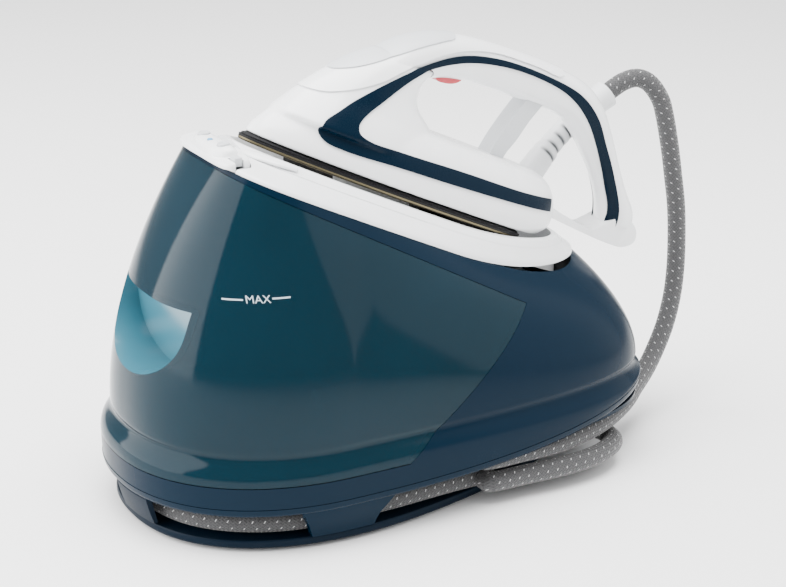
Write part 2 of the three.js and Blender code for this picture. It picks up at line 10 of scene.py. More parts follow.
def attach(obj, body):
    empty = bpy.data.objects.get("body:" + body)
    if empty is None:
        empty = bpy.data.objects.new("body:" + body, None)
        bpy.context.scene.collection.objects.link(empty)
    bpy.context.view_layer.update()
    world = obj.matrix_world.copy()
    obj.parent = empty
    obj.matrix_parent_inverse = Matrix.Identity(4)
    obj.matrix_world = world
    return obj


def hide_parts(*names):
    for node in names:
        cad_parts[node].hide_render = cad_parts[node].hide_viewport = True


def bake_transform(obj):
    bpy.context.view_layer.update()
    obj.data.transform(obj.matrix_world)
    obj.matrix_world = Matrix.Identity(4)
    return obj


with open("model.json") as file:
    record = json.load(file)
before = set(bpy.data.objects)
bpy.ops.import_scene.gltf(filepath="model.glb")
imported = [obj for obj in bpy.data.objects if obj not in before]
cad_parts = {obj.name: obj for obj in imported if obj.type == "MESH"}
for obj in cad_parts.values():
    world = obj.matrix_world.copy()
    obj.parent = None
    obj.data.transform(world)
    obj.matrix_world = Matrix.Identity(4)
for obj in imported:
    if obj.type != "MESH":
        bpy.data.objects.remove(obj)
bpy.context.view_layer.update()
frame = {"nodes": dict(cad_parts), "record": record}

middleY = 18.0        # the shapes below are drawn in millimetres, this far behind the frame's origin
tilt = math.radians(25)
noseY, noseZ = -104.5, 283.4

# half width, front, rear, middle, corner power in front, corner power behind
lines = {
    "base": (121, -204.5, 222, -73, 2.2, 3.6),
    "flare": (126, -213, 226, -73, 2.2, 3.6),
    "rim": (75, -133, 182, -40, 3.6, 2.4),
    "recess": (58, -111, 160, 25, 2.1, 3.2),
    "tray": (116, -202, 195, -60, 2.3, 1.6),
    "core": (84, -166, 150, -60, 2.2, 2.2),
    "sole": (54, 0, 245, 150, 1.75, 5),
    "panel": (45, -136.5, -113, -124, 5, 6),
    "hood": (30, -135, -113.5, -122, 2.6, 3),
}


def soleZ(y):
    return noseZ - math.tan(tilt) * (y - noseY)


def rimZ(y):
    return 210 - 0.478 * y + 0.0017 * np.maximum(y - 40, 0) ** 2


def recessZ(y):
    return soleZ(y) - 2.8 + 0.0015 * np.maximum(y - 50, 0) ** 2


def edgeZ(y):
    return 33 + 0.00035 * np.maximum(y + 60, 0) ** 2


def addObject(name, data):
    o = bpy.data.objects.new(name, data)
    bpy.context.scene.collection.objects.link(o)
    return o


def baked(o):
    return bpy.data.meshes.new_from_object(o.evaluated_get(bpy.context.evaluated_depsgraph_get()))


def unit(rows):
    return rows / np.linalg.norm(rows, axis=1)[:, None]


def fullTurn(n):
    return 2 * np.pi * np.arange(n) / n


# ---- camera ----
cameraPlace = {"azimuth": 61.0, "elevation": 20.0, "distance": 1.6, "aim": (0.003, 0.005, 0.141), "lens": 93.8}


def makeCamera(p):
    a, e = math.radians(p["azimuth"]), math.radians(p["elevation"])
    back = Vector((math.sin(a) * math.cos(e), -math.cos(a) * math.cos(e), math.sin(e)))
    data = bpy.data.cameras.new("camera")
    data.lens, data.sensor_width, data.clip_start, data.clip_end = p["lens"], 36, 0.05, 50
    cam = addObject("camera", data)
    cam.location = Vector(p["aim"]) + back * p["distance"]
    cam.rotation_euler = (-back).to_track_quat("-Z", "Y").to_euler()
    bpy.context.scene.camera = cam


makeCamera(cameraPlace)
print("camera placed")


# ---- mesh tools ----
def meshObject(name, verts, faces):
    mesh = bpy.data.meshes.new(name)
    mesh.from_pydata(np.asarray(verts, float).reshape(-1, 3).tolist(), [], faces)
    return addObject(name, mesh)


# A closed skin over rings[row, column, xyz]: quads between rows, and a fan over each end.
def loft(rings):
    rings = np.asarray(rings, float)
    m, n = rings.shape[:2]
    row, j = np.arange(m - 1)[:, None] * n, np.arange(n)
    k = (j + 1) % n
    quads = np.stack([row + j, row + k, row + n + k, row + n + j], -1).reshape(-1, 4).tolist()
    last = (m - 1) * n
    quads += np.stack([np.full(n, m * n), k, j], -1).tolist()
    quads += np.stack([np.full(n, m * n + 1), last + j, last + k], -1).tolist()
    verts = np.concatenate([rings.reshape(-1, 3), rings[:1].mean(1), rings[-1:].mean(1)])
    return meshObject("part", verts, quads)


# Corner cutting: each inner row is replaced by points a quarter of the way to its neighbours.
def soften(rows, times=2):
    rows = np.asarray(rows, float)
    for _ in range(times):
        a, b = rows[:-1], rows[1:]
        pairs = np.stack([0.75 * a + 0.25 * b, 0.25 * a + 0.75 * b], 1).reshape(-1, *rows.shape[1:])
        rows = np.concatenate([rows[:1], pairs[1:-1], rows[-1:]])
    return rows


# Catmull-Rom through table rows, at evenly spread parameters.
def smoothTable(rows, count):
    rows = np.asarray(rows, float)
    padded = np.concatenate([2 * rows[:1] - rows[1:2], rows, 2 * rows[-1:] - rows[-2:-1]])
    t = np.linspace(0, len(rows) - 1, count)
    i = np.minimum(t.astype(int), len(rows) - 2)
    f = (t - i)[:, None]
    p0, p1, p2, p3 = padded[i], padded[i + 1], padded[i + 2], padded[i + 3]
    return 0.5 * (2 * p1 + (p2 - p0) * f + (2 * p0 - 5 * p1 + 4 * p2 - p3) * f**2
                  + (3 * p1 - p0 - 3 * p2 + p3) * f**3)


# The cubic through points whose knots are spaced by the square root of the distance between them.
def centripetal(points, count):
    p = np.asarray(points, float)
    p = np.concatenate([2 * p[:1] - p[1:2], p, 2 * p[-1:] - p[-2:-1]])
    d = np.sqrt(np.linalg.norm(np.diff(p, axis=0), axis=1))
    t = np.linspace(0, len(points) - 1, count)
    i = np.minimum(t.astype(int), len(points) - 2)
    f = (t - i)[:, None]
    d0, d1, d2 = d[i][:, None], d[i + 1][:, None], d[i + 2][:, None]
    x0, x1, x2, x3 = p[i], p[i + 1], p[i + 2], p[i + 3]
    m1 = ((x1 - x0) / d0 - (x2 - x0) / (d0 + d1) + (x2 - x1) / d1) * d1
    m2 = ((x2 - x1) / d1 - (x3 - x1) / (d1 + d2) + (x3 - x2) / d2) * d1
    return x1 + m1 * f + (3 * (x2 - x1) - 2 * m1 - m2) * f**2 + (2 * (x1 - x2) + m1 + m2) * f**3


def evenly(path, count):
    s = np.concatenate([[0], np.cumsum(np.linalg.norm(np.diff(path, axis=0), axis=1))])
    want = np.linspace(0, s[-1], count)
    return np.stack([np.interp(want, s, path[:, k]) for k in range(3)], 1), s[-1]


# Boat outline: x = half*|cos|^(2/p), y = middle +- reach*|sin|^(2/p), closely spaced at the four axes.
def boat(name, z, inset=0.0, n=200):
    half, front, rear, mid, frontPower, rearPower = lines[name] if isinstance(name, str) else name
    s = fullTurn(n)
    t = s - 0.2 * np.sin(4 * s)
    c, s = np.cos(t), np.sin(t)
    c[np.abs(c) < 1e-9] = 0
    s[np.abs(s) < 1e-9] = 0
    power = np.where(s < 0, frontPower, rearPower)
    reach = np.where(s < 0, mid - front, rear - mid) - inset
    x = (half - inset) * np.sign(c) * np.abs(c) ** (2 / power)
    y = mid + np.sign(s) * reach * np.abs(s) ** (2 / power)
    height = z(y) if callable(z) else np.full(n, float(z))
    return np.stack([x, y, height], 1)


# Boat outlines of one name at rows of (height, inset).
def ladder(name, rows, n=200):
    return [boat(name, z, inset, n) for z, inset in rows]


def block(x0, x1, y0, y1, z0, z1):
    ring = lambda z: [[x0, y0, z], [x1, y0, z], [x1, y1, z], [x0, y1, z]]
    return loft([ring(z0), ring(z1)])


# A round bar along an axis from a point; rows of (share of length, radius) turn it on a lathe.
def turned(axis, start, length, rows, n=48):
    rows = np.asarray(rows, float)
    a = fullTurn(n)
    u = rows[:, 0:1] * length + 0 * a
    c, s = rows[:, 1:2] * np.cos(a), rows[:, 1:2] * np.sin(a)
    order = {"z": (c, s, u), "x": (u, c, s), "y": (s, u, c)}[axis]
    return loft(np.stack(order, -1) + np.asarray(start, float))


def bar(axis, start, length, radius, n=48):
    return turned(axis, start, length, [(0, radius), (1, radius)], n)


# An outline of (u, v) points pushed out between two stations along x or y.
def prism(points, axis, a, b):
    p = np.asarray(points, float)
    area = 0.5 * np.sum(p[:, 0] * np.roll(p[:, 1], -1) - np.roll(p[:, 0], -1) * p[:, 1])
    if (area < 0) == (axis == "x"):
        p = p[::-1]
    n = len(p)
    put = (lambda w: np.stack([np.full(n, w), p[:, 0], p[:, 1]], 1)) if axis == "x" else (
        lambda w: np.stack([p[:, 0], np.full(n, w), p[:, 1]], 1))
    verts = np.concatenate([put(a), put(b)])
    j = np.arange(n)
    k = (j + 1) % n
    faces = [list(range(n))[::-1], list(range(n, 2 * n))] + np.stack([j, k, n + k, n + j], -1).tolist()
    return meshObject("part", verts, faces)


def carve(target, tool, kind):
    m = target.modifiers.new("carve", "BOOLEAN")
    m.operation, m.solver, m.object = kind, "MANIFOLD", tool
    made = baked(target)
    target.modifiers.clear()
    target.data = made
    bpy.data.objects.remove(tool)
    return target


def cut(target, *tools):
    for tool in tools:
        carve(target, tool, "DIFFERENCE")
    return target


def join(target, *tools):
    for tool in tools:
        carve(target, tool, "UNION")
    return target


def overlap(target, tool):
    return carve(target, tool, "INTERSECT")


def shadeByAngle(mesh, degrees):
    mesh.shade_smooth()
    mesh.set_sharp_from_angle(angle=math.radians(degrees))


toFrame = Matrix.Scale(0.001, 4) @ Matrix.Translation((0, -middleY, 0))
ironToFrame = toFrame @ Matrix.Translation((0, noseY, noseZ)) @ Matrix.Rotation(-tilt, 4, "X")


# Cleans a piece, puts it in the frame, gives it its finish, and says what it rides on and stands for.
def settle(o, name, body, nodes, look, place=toFrame, sharp=32):
    bm = bmesh.new()
    bm.from_mesh(o.data)
    bmesh.ops.remove_doubles(bm, verts=bm.verts, dist=0.002)
    bmesh.ops.dissolve_degenerate(bm, edges=bm.edges, dist=0.002)
    bm.to_mesh(o.data)
    bm.free()
    o.name = name
    o.data.name = name
    o.data.transform(place)
    shadeByAngle(o.data, sharp)
    o.data.materials.clear()
    o.data.materials.append(finishes[look])
    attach(o, body)
    if nodes:
        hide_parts(*nodes)
    return o


def settleIron(o, name, nodeName, look, body="iron", sharp=32):
    settle(o, name, body, [nodeName], look, ironToFrame, sharp)


# ---- shader groups ----
def newGroup(name, inputs, outputs):
    g = bpy.data.node_groups.new(name, "ShaderNodeTree")
    for label, kind, value in inputs:
        s = g.interface.new_socket(label, in_out="INPUT", socket_type=kind)
        if value is not None:
            s.default_value = value
    for label, kind in outputs:
        g.interface.new_socket(label, in_out="OUTPUT", socket_type=kind)
    return g, g.nodes.new("NodeGroupInput"), g.nodes.new("NodeGroupOutput")


def addNode(tree, kind, **values):
    made = tree.nodes.new(kind)
    for key, value in values.items():
        setattr(made, key, value)
    return made


def setInputs(made, **values):
    for key, value in values.items():
        made.inputs[key.replace("_", " ")].default_value = value
    return made


def wire(tree, pairs):
    for a, b in pairs:
        tree.links.new(a, b)


def maths(tree, operation, a, b=None, clamp=False):
    m = addNode(tree, "ShaderNodeMath", operation=operation, use_clamp=clamp)
    for socket, value in ((m.inputs[0], a), (m.inputs[1], b)):
        if value is None:
            continue
        if isinstance(value, (int, float)):
            socket.default_value = value
        else:
            tree.links.new(value, socket)
    return m.outputs[0]


def mixed(tree, factor, a, b):
    m = addNode(tree, "ShaderNodeMix", data_type="RGBA")
    for socket, value in ((m.inputs[0], factor), (m.inputs[6], a), (m.inputs[7], b)):
        if isinstance(value, (int, float, tuple)):
            socket.default_value = value
        else:
            tree.links.new(value, socket)
    return m.outputs[2]


# Moulded surface: fine spark texture for the height, and slow clouds that shift gloss and colour a little.
def mouldedGroup():
    g, i, o = newGroup("mouldedSkin", [
        ("Vector", "NodeSocketVector", None), ("Colour", "NodeSocketColor", (0.5, 0.5, 0.5, 1)),
        ("Clouds", "NodeSocketFloat", 0.03), ("Grain Size", "NodeSocketFloat", 0.0006),
        ("Gloss Low", "NodeSocketFloat", 0.2), ("Gloss High", "NodeSocketFloat", 0.3)],
        [("Colour", "NodeSocketColor"), ("Roughness", "NodeSocketFloat"), ("Height", "NodeSocketFloat")])
    slow = setInputs(addNode(g, "ShaderNodeTexNoise"), Scale=14, Detail=3)
    fine = setInputs(addNode(g, "ShaderNodeTexNoise"), Detail=2)
    wire(g, [(i.outputs["Vector"], slow.inputs["Vector"]), (i.outputs["Vector"], fine.inputs["Vector"]),
             (maths(g, "DIVIDE", 1.0, i.outputs["Grain Size"]), fine.inputs["Scale"])])
    shade = maths(g, "MULTIPLY", maths(g, "SUBTRACT", slow.outputs["Fac"], 0.5), i.outputs["Clouds"])
    bright = addNode(g, "ShaderNodeHueSaturation")
    wire(g, [(i.outputs["Colour"], bright.inputs["Color"]), (maths(g, "ADD", shade, 1.0), bright.inputs["Value"]),
             (bright.outputs[0], o.inputs["Colour"])])
    span = addNode(g, "ShaderNodeMapRange")
    mixNoise = maths(g, "ADD", maths(g, "MULTIPLY", slow.outputs["Fac"], 0.6),
                     maths(g, "MULTIPLY", fine.outputs["Fac"], 0.4))
    span.inputs["From Min"].default_value, span.inputs["From Max"].default_value = 0.3, 0.7
    wire(g, [(mixNoise, span.inputs["Value"]), (i.outputs["Gloss Low"], span.inputs["To Min"]),
             (i.outputs["Gloss High"], span.inputs["To Max"]), (span.outputs[0], o.inputs["Roughness"]),
             (fine.outputs["Fac"], o.inputs["Height"])])
    return g


# Dust and rub marks: streaks of noise that lighten the colour and dull the gloss.
def wearGroup():
    g, i, o = newGroup("handling", [
        ("Vector", "NodeSocketVector", None), ("Colour", "NodeSocketColor", (0.5, 0.5, 0.5, 1)),
        ("Roughness", "NodeSocketFloat", 0.3), ("Dust", "NodeSocketColor", (0.8, 0.8, 0.8, 1)),
        ("Amount", "NodeSocketFloat", 0.05)],
        [("Colour", "NodeSocketColor"), ("Roughness", "NodeSocketFloat")])
    n = setInputs(addNode(g, "ShaderNodeTexNoise"), Scale=55, Detail=6)
    mask = maths(g, "MULTIPLY", maths(g, "POWER", n.outputs["Fac"], 2.5), i.outputs["Amount"], clamp=True)
    wire(g, [(i.outputs["Vector"], n.inputs["Vector"]),
             (mixed(g, mask, i.outputs["Colour"], i.outputs["Dust"]), o.inputs["Colour"]),
             (maths(g, "ADD", i.outputs["Roughness"], mask), o.inputs["Roughness"])])
    return g


# Braided sleeve on the tube's own u (round) and v (metres along): two crossing families of yarns, over and under,
# with painted shade darkening the colour towards each yarn's edges, and light flecks where marked yarns surface.
def braidGroup():
    g, i, o = newGroup("braid", [
        ("Vector", "NodeSocketVector", None), ("Yarns", "NodeSocketFloat", 22.0), ("Pitch", "NodeSocketFloat", 0.05),
        ("Dark", "NodeSocketColor", (0.08, 0.08, 0.085, 1)), ("Yarn", "NodeSocketColor", (0.3, 0.3, 0.3, 1)),
        ("Fleck", "NodeSocketColor", (0.85, 0.85, 0.85, 1))],
        [("Colour", "NodeSocketColor"), ("Roughness", "NodeSocketFloat"), ("Height", "NodeSocketFloat")])
    sep = addNode(g, "ShaderNodeSeparateXYZ")
    wire(g, [(i.outputs["Vector"], sep.inputs[0])])
    along = maths(g, "DIVIDE", sep.outputs["Y"], i.outputs["Pitch"])
    turns = [maths(g, "MULTIPLY", maths(g, kind, sep.outputs["X"], along), i.outputs["Yarns"])
             for kind in ("ADD", "SUBTRACT")]
    waves = [maths(g, "ABSOLUTE", maths(g, "SINE", maths(g, "MULTIPLY", t, math.pi))) for t in turns]
    cells = [maths(g, "FLOOR", t) for t in turns]
    over = maths(g, "FLOORED_MODULO", maths(g, "ADD", cells[0], cells[1]), 2.0)
    height = addNode(g, "ShaderNodeMix", data_type="FLOAT")
    wire(g, [(over, height.inputs[0]), (waves[0], height.inputs[2]), (waves[1], height.inputs[3])])
    # painted shade: the weave height blends from the shade colour at the yarns' edges to the yarn colour on their
    # crowns
    shadedYarnColour = mixed(g, height.outputs[0], i.outputs["Dark"], i.outputs["Yarn"])
    lane = maths(g, "MULTIPLY", sep.outputs["X"], 9.0)
    marked = maths(g, "LESS_THAN", maths(g, "FRACT", lane), 0.3)
    step = maths(g, "ADD", maths(g, "DIVIDE", sep.outputs["Y"], 0.0085), maths(g, "MULTIPLY", lane, 1 / 3))
    shifted = maths(g, "ADD", step, maths(g, "MULTIPLY", maths(g, "FLOOR", lane), 1 / 3))
    dash = maths(g, "LESS_THAN", maths(g, "FRACT", shifted), 0.085)
    fleck = maths(g, "MULTIPLY", marked, dash)
    grit = setInputs(addNode(g, "ShaderNodeTexNoise"), Scale=900)
    wire(g, [(i.outputs["Vector"], grit.inputs["Vector"]),
             (mixed(g, maths(g, "MULTIPLY", fleck, 0.85), shadedYarnColour, i.outputs["Fleck"]), o.inputs["Colour"]),
             (maths(g, "ADD", maths(g, "MULTIPLY", grit.outputs["Fac"], 0.2), 0.65), o.inputs["Roughness"]),
             (maths(g, "ADD", height.outputs[0], maths(g, "MULTIPLY", fleck, 0.5)), o.inputs["Height"])])
    return g


# Brushed metal: noise stretched along one axis drives gloss and height.
def brushedGroup():
    g, i, o = newGroup("brushed", [
        ("Vector", "NodeSocketVector", None), ("Colour", "NodeSocketColor", (0.6, 0.6, 0.6, 1)),
        ("Stretch", "NodeSocketVector", (4, 900, 900)), ("Gloss", "NodeSocketFloat", 0.3)],
        [("Colour", "NodeSocketColor"), ("Roughness", "NodeSocketFloat"), ("Height", "NodeSocketFloat")])
    scaled = addNode(g, "ShaderNodeVectorMath", operation="MULTIPLY")
    n = setInputs(addNode(g, "ShaderNodeTexNoise"), Scale=1.0, Detail=2)
    wire(g, [(i.outputs["Vector"], scaled.inputs[0]), (i.outputs["Stretch"], scaled.inputs[1]),
             (scaled.outputs[0], n.inputs["Vector"])])
    tone = addNode(g, "ShaderNodeHueSaturation")
    wire(g, [(i.outputs["Colour"], tone.inputs["Color"]),
             (maths(g, "ADD", maths(g, "MULTIPLY", n.outputs["Fac"], 0.25), 0.875), tone.inputs["Value"]),
             (tone.outputs[0], o.inputs["Colour"]),
             (maths(g, "ADD", maths(g, "MULTIPLY", n.outputs["Fac"], 0.2), i.outputs["Gloss"]), o.inputs["Roughness"]),
             (n.outputs["Fac"], o.inputs["Height"])])
    return g


moulded, handling, braid, brushed = mouldedGroup(), wearGroup(), braidGroup(), brushedGroup()


def startMaterial(name):
    m = bpy.data.materials.new(name)
    m.use_nodes = True
    return m, m.node_tree, m.node_tree.nodes["Principled BSDF"]


def addGroup(tree, group, **values):
    return setInputs(addNode(tree, "ShaderNodeGroup", node_tree=group), **values)


# A group's colour and gloss into the surface p.
def coloured(tree, made, p):
    wire(tree, [(made.outputs["Colour"], p.inputs["Base Color"]), (made.outputs["Roughness"], p.inputs["Roughness"])])


def bumped(tree, height, distance, strength, target):
    b = setInputs(addNode(tree, "ShaderNodeBump"), Distance=distance, Strength=strength)
    wire(tree, [(height, b.inputs["Height"]), (b.outputs[0], target)])


def plastic(name, colour, gloss=(0.2, 0.3), grain=0.0006, bump=0.00002, clouds=0.04, dust=0.03, coat=0.0,
            sockets=None):
    m, t, p = startMaterial(name)
    uv = addNode(t, "ShaderNodeTexCoord").outputs["Object"]
    skin = addGroup(t, moulded, Colour=(*colour, 1), Clouds=clouds, Grain_Size=grain,
                    Gloss_Low=gloss[0], Gloss_High=gloss[1])
    worn = addGroup(t, handling, Amount=dust)
    wire(t, [(uv, skin.inputs["Vector"]), (uv, worn.inputs["Vector"]), (skin.outputs["Colour"], worn.inputs["Colour"]),
             (skin.outputs["Roughness"], worn.inputs["Roughness"])])
    coloured(t, worn, p)
    bumped(t, skin.outputs["Height"], bump, 0.5, p.inputs["Normal"])
    p.inputs["Coat Weight"].default_value = coat
    for key, value in (sockets or {}).items():
        p.inputs[key].default_value = value
    return m


def metal(name, colour, gloss=0.25, stretch=(4, 900, 900), bump=0.00001):
    m, t, p = startMaterial(name)
    uv = addNode(t, "ShaderNodeTexCoord").outputs["Object"]
    b = addGroup(t, brushed, Colour=(*colour, 1), Stretch=stretch, Gloss=gloss)
    wire(t, [(uv, b.inputs["Vector"])])
    coloured(t, b, p)
    p.inputs["Metallic"].default_value = 1.0
    bumped(t, b.outputs["Height"], bump, 0.4, p.inputs["Normal"])
    return m


finishes = {
    "white": plastic("whiteShell", (0.86, 0.87, 0.88), (0.22, 0.3), coat=0.3),
    "grey": plastic("greyTrim", (0.56, 0.58, 0.6), (0.3, 0.42)),
    "navy": plastic("navyGloss", (0.0008, 0.0085, 0.019), (0.2, 0.28), clouds=0.1, dust=0.001,
                    sockets={"Specular IOR Level": 0.07}),
    "darkNavy": plastic("navySatin", (0.0008, 0.006, 0.014), (0.32, 0.45), grain=0.0009, bump=0.00004, dust=0.004,
                        sockets={"Specular IOR Level": 0.07}),
    "ribbon": plastic("ribbonNavy", (0.0006, 0.0065, 0.015), (0.24, 0.32), dust=0.001,
                      sockets={"Specular IOR Level": 0.07}),
    "black": plastic("blackMatt", (0.006, 0.006, 0.007), (0.5, 0.65), bump=0.00005, dust=0.005,
                     sockets={"Specular IOR Level": 0.2}),
    "red": plastic("redTrigger", (0.42, 0.03, 0.05), (0.2, 0.3), sockets={"Subsurface Weight": 0.3}),
    "rubber": plastic("rubberPad", (0.02, 0.02, 0.022), (0.7, 0.85), bump=0.00008, dust=0.15),
    "board": plastic("boardGreen", (0.01, 0.12, 0.04), (0.35, 0.5)),
    "silicone": plastic("siliconeTube", (0.62, 0.6, 0.55), (0.35, 0.5), sockets={"Subsurface Weight": 0.4}),
    "sole": metal("soleMetal", (0.13, 0.11, 0.065), 0.26, (300, 6, 300)),
    # painted light: a lighter, opaque copy of the tank's tint for the grip pocket's walls
    "pocket": plastic("pocketPaintedLight", (0.035, 0.14, 0.19), (0.16, 0.22), clouds=0.2, dust=0.0),
    "steel": metal("boilerSteel", (0.6, 0.61, 0.62), 0.25, (6, 700, 700)),
    "brass": metal("brassFitting", (0.55, 0.4, 0.16), 0.28),
    "casting": metal("castChamber", (0.42, 0.42, 0.43), 0.5, (400, 400, 400), 0.00006),
    "print": plastic("printGrey", (0.42, 0.5, 0.54), (0.4, 0.5)),
}


tankTint = {"colour": (0.004, 0.032, 0.052), "gloss": (0.09, 0.1), "clear": 0.6, "ior": 1.22}


def tankMaterial():
    m, t, p = startMaterial("tankTint")
    uv = addNode(t, "ShaderNodeTexCoord").outputs["Object"]
    skin = addGroup(t, moulded, Colour=(*tankTint["colour"], 1), Clouds=0.3, Grain_Size=0.02,
                    Gloss_Low=tankTint["gloss"][0], Gloss_High=tankTint["gloss"][1])
    wire(t, [(uv, skin.inputs["Vector"])])
    coloured(t, skin, p)
    p.inputs["Transmission Weight"].default_value = tankTint["clear"]
    p.inputs["IOR"].default_value = tankTint["ior"]
    return m


def hoseMaterial():
    m, t, p = startMaterial("hoseBraid")
    uv = addNode(t, "ShaderNodeUVMap", uv_map="UVMap")
    # the first colour given to the braid is the painted shade between yarns
    b = addGroup(t, braid, Yarns=20.0, Pitch=0.062, Dark=(0.01, 0.01, 0.011, 1), Yarn=(0.05, 0.05, 0.052, 1),
                 Fleck=(0.6, 0.6, 0.6, 1))
    wire(t, [(uv.outputs[0], b.inputs["Vector"])])
    coloured(t, b, p)
    p.inputs["Sheen Weight"].default_value = 0.25
    bumped(t, b.outputs["Height"], 0.0004, 0.8, p.inputs["Normal"])
    return m


# Light grey, with painted shade that darkens the base colour where the groove attribute says a slit is cut.
def bootMaterial():
    m = plastic("bootRubber", (0.66, 0.67, 0.68), (0.4, 0.5))
    t, p = m.node_tree, m.node_tree.nodes["Principled BSDF"]
    mask = addNode(t, "ShaderNodeAttribute", attribute_name="groove", attribute_type="GEOMETRY")
    source = p.inputs["Base Color"].links[0].from_socket
    # painted shade: the groove depth darkens the colour inside the slits
    sharp = maths(t, "MULTIPLY", mask.outputs["Fac"], 1.2, clamp=True)
    wire(t, [(mixed(t, sharp, source, (0.06, 0.065, 0.07, 1)), p.inputs["Base Color"])])
    return m


finishes["boot"] = bootMaterial()
finishes["tank"] = tankMaterial()
finishes["hose"] = hoseMaterial()
finishes["lens"] = plastic("lensBlue", (0.1, 0.35, 0.6), (0.08, 0.12), sockets={"Emission Strength": 0.0})
print("materials made")

# ---- steam hose: outlet, round the channel and back above itself, and up to the iron ----
hose = {"radius": 7.75, "around": 28, "stepsPerMm": 0.3, "inset": 25}


# A point in the channel at an angle round the base, inset from the flare.
def channelPoint(angle, z):
    half, front, rear, mid, frontPower, rearPower = lines["flare"]
    t = math.radians(angle)
    c, s = math.cos(t), math.sin(t)
    power = frontPower if s < 0 else rearPower
    reach = (mid - front if s < 0 else rear - mid) - hose["inset"]
    return [(half - hose["inset"]) * math.copysign(abs(c) ** (2 / power), c),
            mid + math.copysign(abs(s) ** (2 / power), s) * reach, z]


hoseRoute = [
    [52, 160, 39.2], [52, 160, 35.5], [54, 163.4, 28], [62, 171, 20.6], [76, 177.5, 18.2], [92, 175, 18],
    [105, 158, 18], [112, 135, 18], [114, 108, 18], [113, 80, 18], [110, 45, 18],
    *[channelPoint(a, 18) for a in range(14, -195, -13)],
    [-99, 50, 18], [-86, 84, 18], [-60, 112, 18.5], [-28, 130, 20], [-8, 137, 22], [6, 159, 25], [-6, 180, 28],
    [-28, 187, 31], [-56, 180, 34], [-82, 155, 35], [-97, 115, 35], [-102, 70, 35],
    *[channelPoint(a, 35) for a in range(-195, 14, 13)],
    [105.5, 45, 34.6], [107.3, 80, 34.4], [106.5, 112, 34.4], [101, 135, 34.5], [91, 162, 34.6], [77, 187, 35],
    [64, 206, 35.6], [50, 223, 37.4], [35, 245, 43.8], [26, 259.5, 52.5], [17, 277, 72.3], [10, 288.7, 95],
    [5, 294.7, 119.3], [0, 298, 144], [-4, 298.9, 169.3], [-8, 297.3, 194.7], [-12, 295.2, 220], [-17, 292.4, 245],
    [-20.5, 290, 258], [-25, 280.5, 272.5], [-28, 270.5, 277], [-30.6, 259, 274.8],
    [-31.8, 250.2, 270.2], [-32, 243.3, 266.4],
]


# Frames carried along a path without twist; a round section of the given radii swept along it.
def sweptTube(path, radii, around, name):
    tangent = unit(np.gradient(path, axis=0))
    side = np.zeros_like(path)
    side[0] = np.cross(tangent[0], [0, 1, 0.2])
    side[0] /= np.linalg.norm(side[0])
    for k in range(1, len(path)):
        v = side[k - 1] - tangent[k] * np.dot(side[k - 1], tangent[k])
        side[k] = v / np.linalg.norm(v)
    up = np.cross(tangent, side)
    a = fullTurn(around)
    rings = path[:, None] + radii * (np.cos(a)[None, :, None] * side[:, None] + np.sin(a)[None, :, None] * up[:, None])
    o = loft(rings)
    o.name = name
    return o, rings


def readInts(items, key):
    values = np.zeros(len(items), np.int32)
    items.foreach_get(key, values)
    return values


# u goes round the tube and v in metres along it, with u = 1 where a face closes the round.
def giveTubeUv(o, rings, length):
    m, n = rings.shape[:2]
    uv = o.data.uv_layers.new(name="UVMap")
    loops, totals = readInts(o.data.loops, "vertex_index"), readInts(o.data.polygons, "loop_total")
    row, col = loops // n, loops % n
    u, v = col / n, np.minimum(row, m - 1) * length / (m - 1)
    poly = np.repeat(np.arange(len(totals)), totals)
    lastCol = np.zeros(len(totals), bool)
    np.logical_or.at(lastCol, poly[(col == n - 1) & (loops < m * n)], True)
    u = np.where(lastCol[poly] & (col == 0) & (loops < m * n), 1.0, u)
    uv.data.foreach_set("uv", np.stack([u, v], 1).astype(np.float32).ravel())


def makeHose(h):
    fine = centripetal(hoseRoute, 6000)
    _, total = evenly(fine, 3)
    path, _ = evenly(fine, int(total * h["stepsPerMm"]))
    o, rings = sweptTube(path, h["radius"] - 0.05, h["around"], "steamHose")
    giveTubeUv(o, rings, total / 1000)
    o.data.transform(toFrame)
    shadeByAngle(o.data, 50)
    o.data.materials.append(finishes["hose"])
    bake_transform(o)
    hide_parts("steam_hose", "steam_hose_iron_end")
    print("hose", round(total), "mm")


makeHose(hose)

# ---- base casing: flare, shoulder and domed flank up to the platform rim ----
base = {"wall": 3.0, "tankWall": 2.6, "gap": 0.4, "shoulder": 80.0, "bulge": 1.85, "edge": 0.4, "rows": 44}


# Rows between the shoulder and the rim: plan blends by u^bulge, height by u.
def domeRows(inset, lift, count):
    u = np.linspace(0, 1, count)[:, None]
    low, high = boat("base", base["shoulder"], inset), boat("rim", rimZ, inset)
    out = np.empty((count, len(low), 3))
    out[:, :, 0] = low[:, 0] + (high[:, 0] - low[:, 0]) * u ** base["bulge"]
    out[:, :, 1] = low[:, 1] + (high[:, 1] - low[:, 1]) * u ** base["bulge"]
    out[:, :, 2] = low[:, 2] + (high[:, 2] + lift - low[:, 2]) * u
    return out


def flank(inset, bottom, lift, count):
    lip = [boat("flare", lambda y: np.maximum(60, edgeZ(y) + 8), inset),
           boat("flare", lambda y: np.maximum(67, edgeZ(y) + 10.5), inset + 1.8),
           boat("base", 75.4, inset + 1.7)]
    return loft(soften([bottom, *lip, *domeRows(inset, lift, count)]))


# Side view of the tank bay: floor, slanted back wall and sloping roof, grown by g.
def bay(g, xHalf=160):
    slant = lambda z: 10 + 1.3 * (z - 87) + g / 0.61
    roof = lambda y: 209 - 0.54 * (y + 21) + 1.136 * g
    z = 155.0
    for _ in range(40):
        z = roof(slant(z)) * 0.4 + z * 0.6
    floor = 56 - g
    return prism([[-300, floor], [slant(floor), floor], [slant(z), z], [-300, roof(-300)]], "x", -xHalf, xHalf)


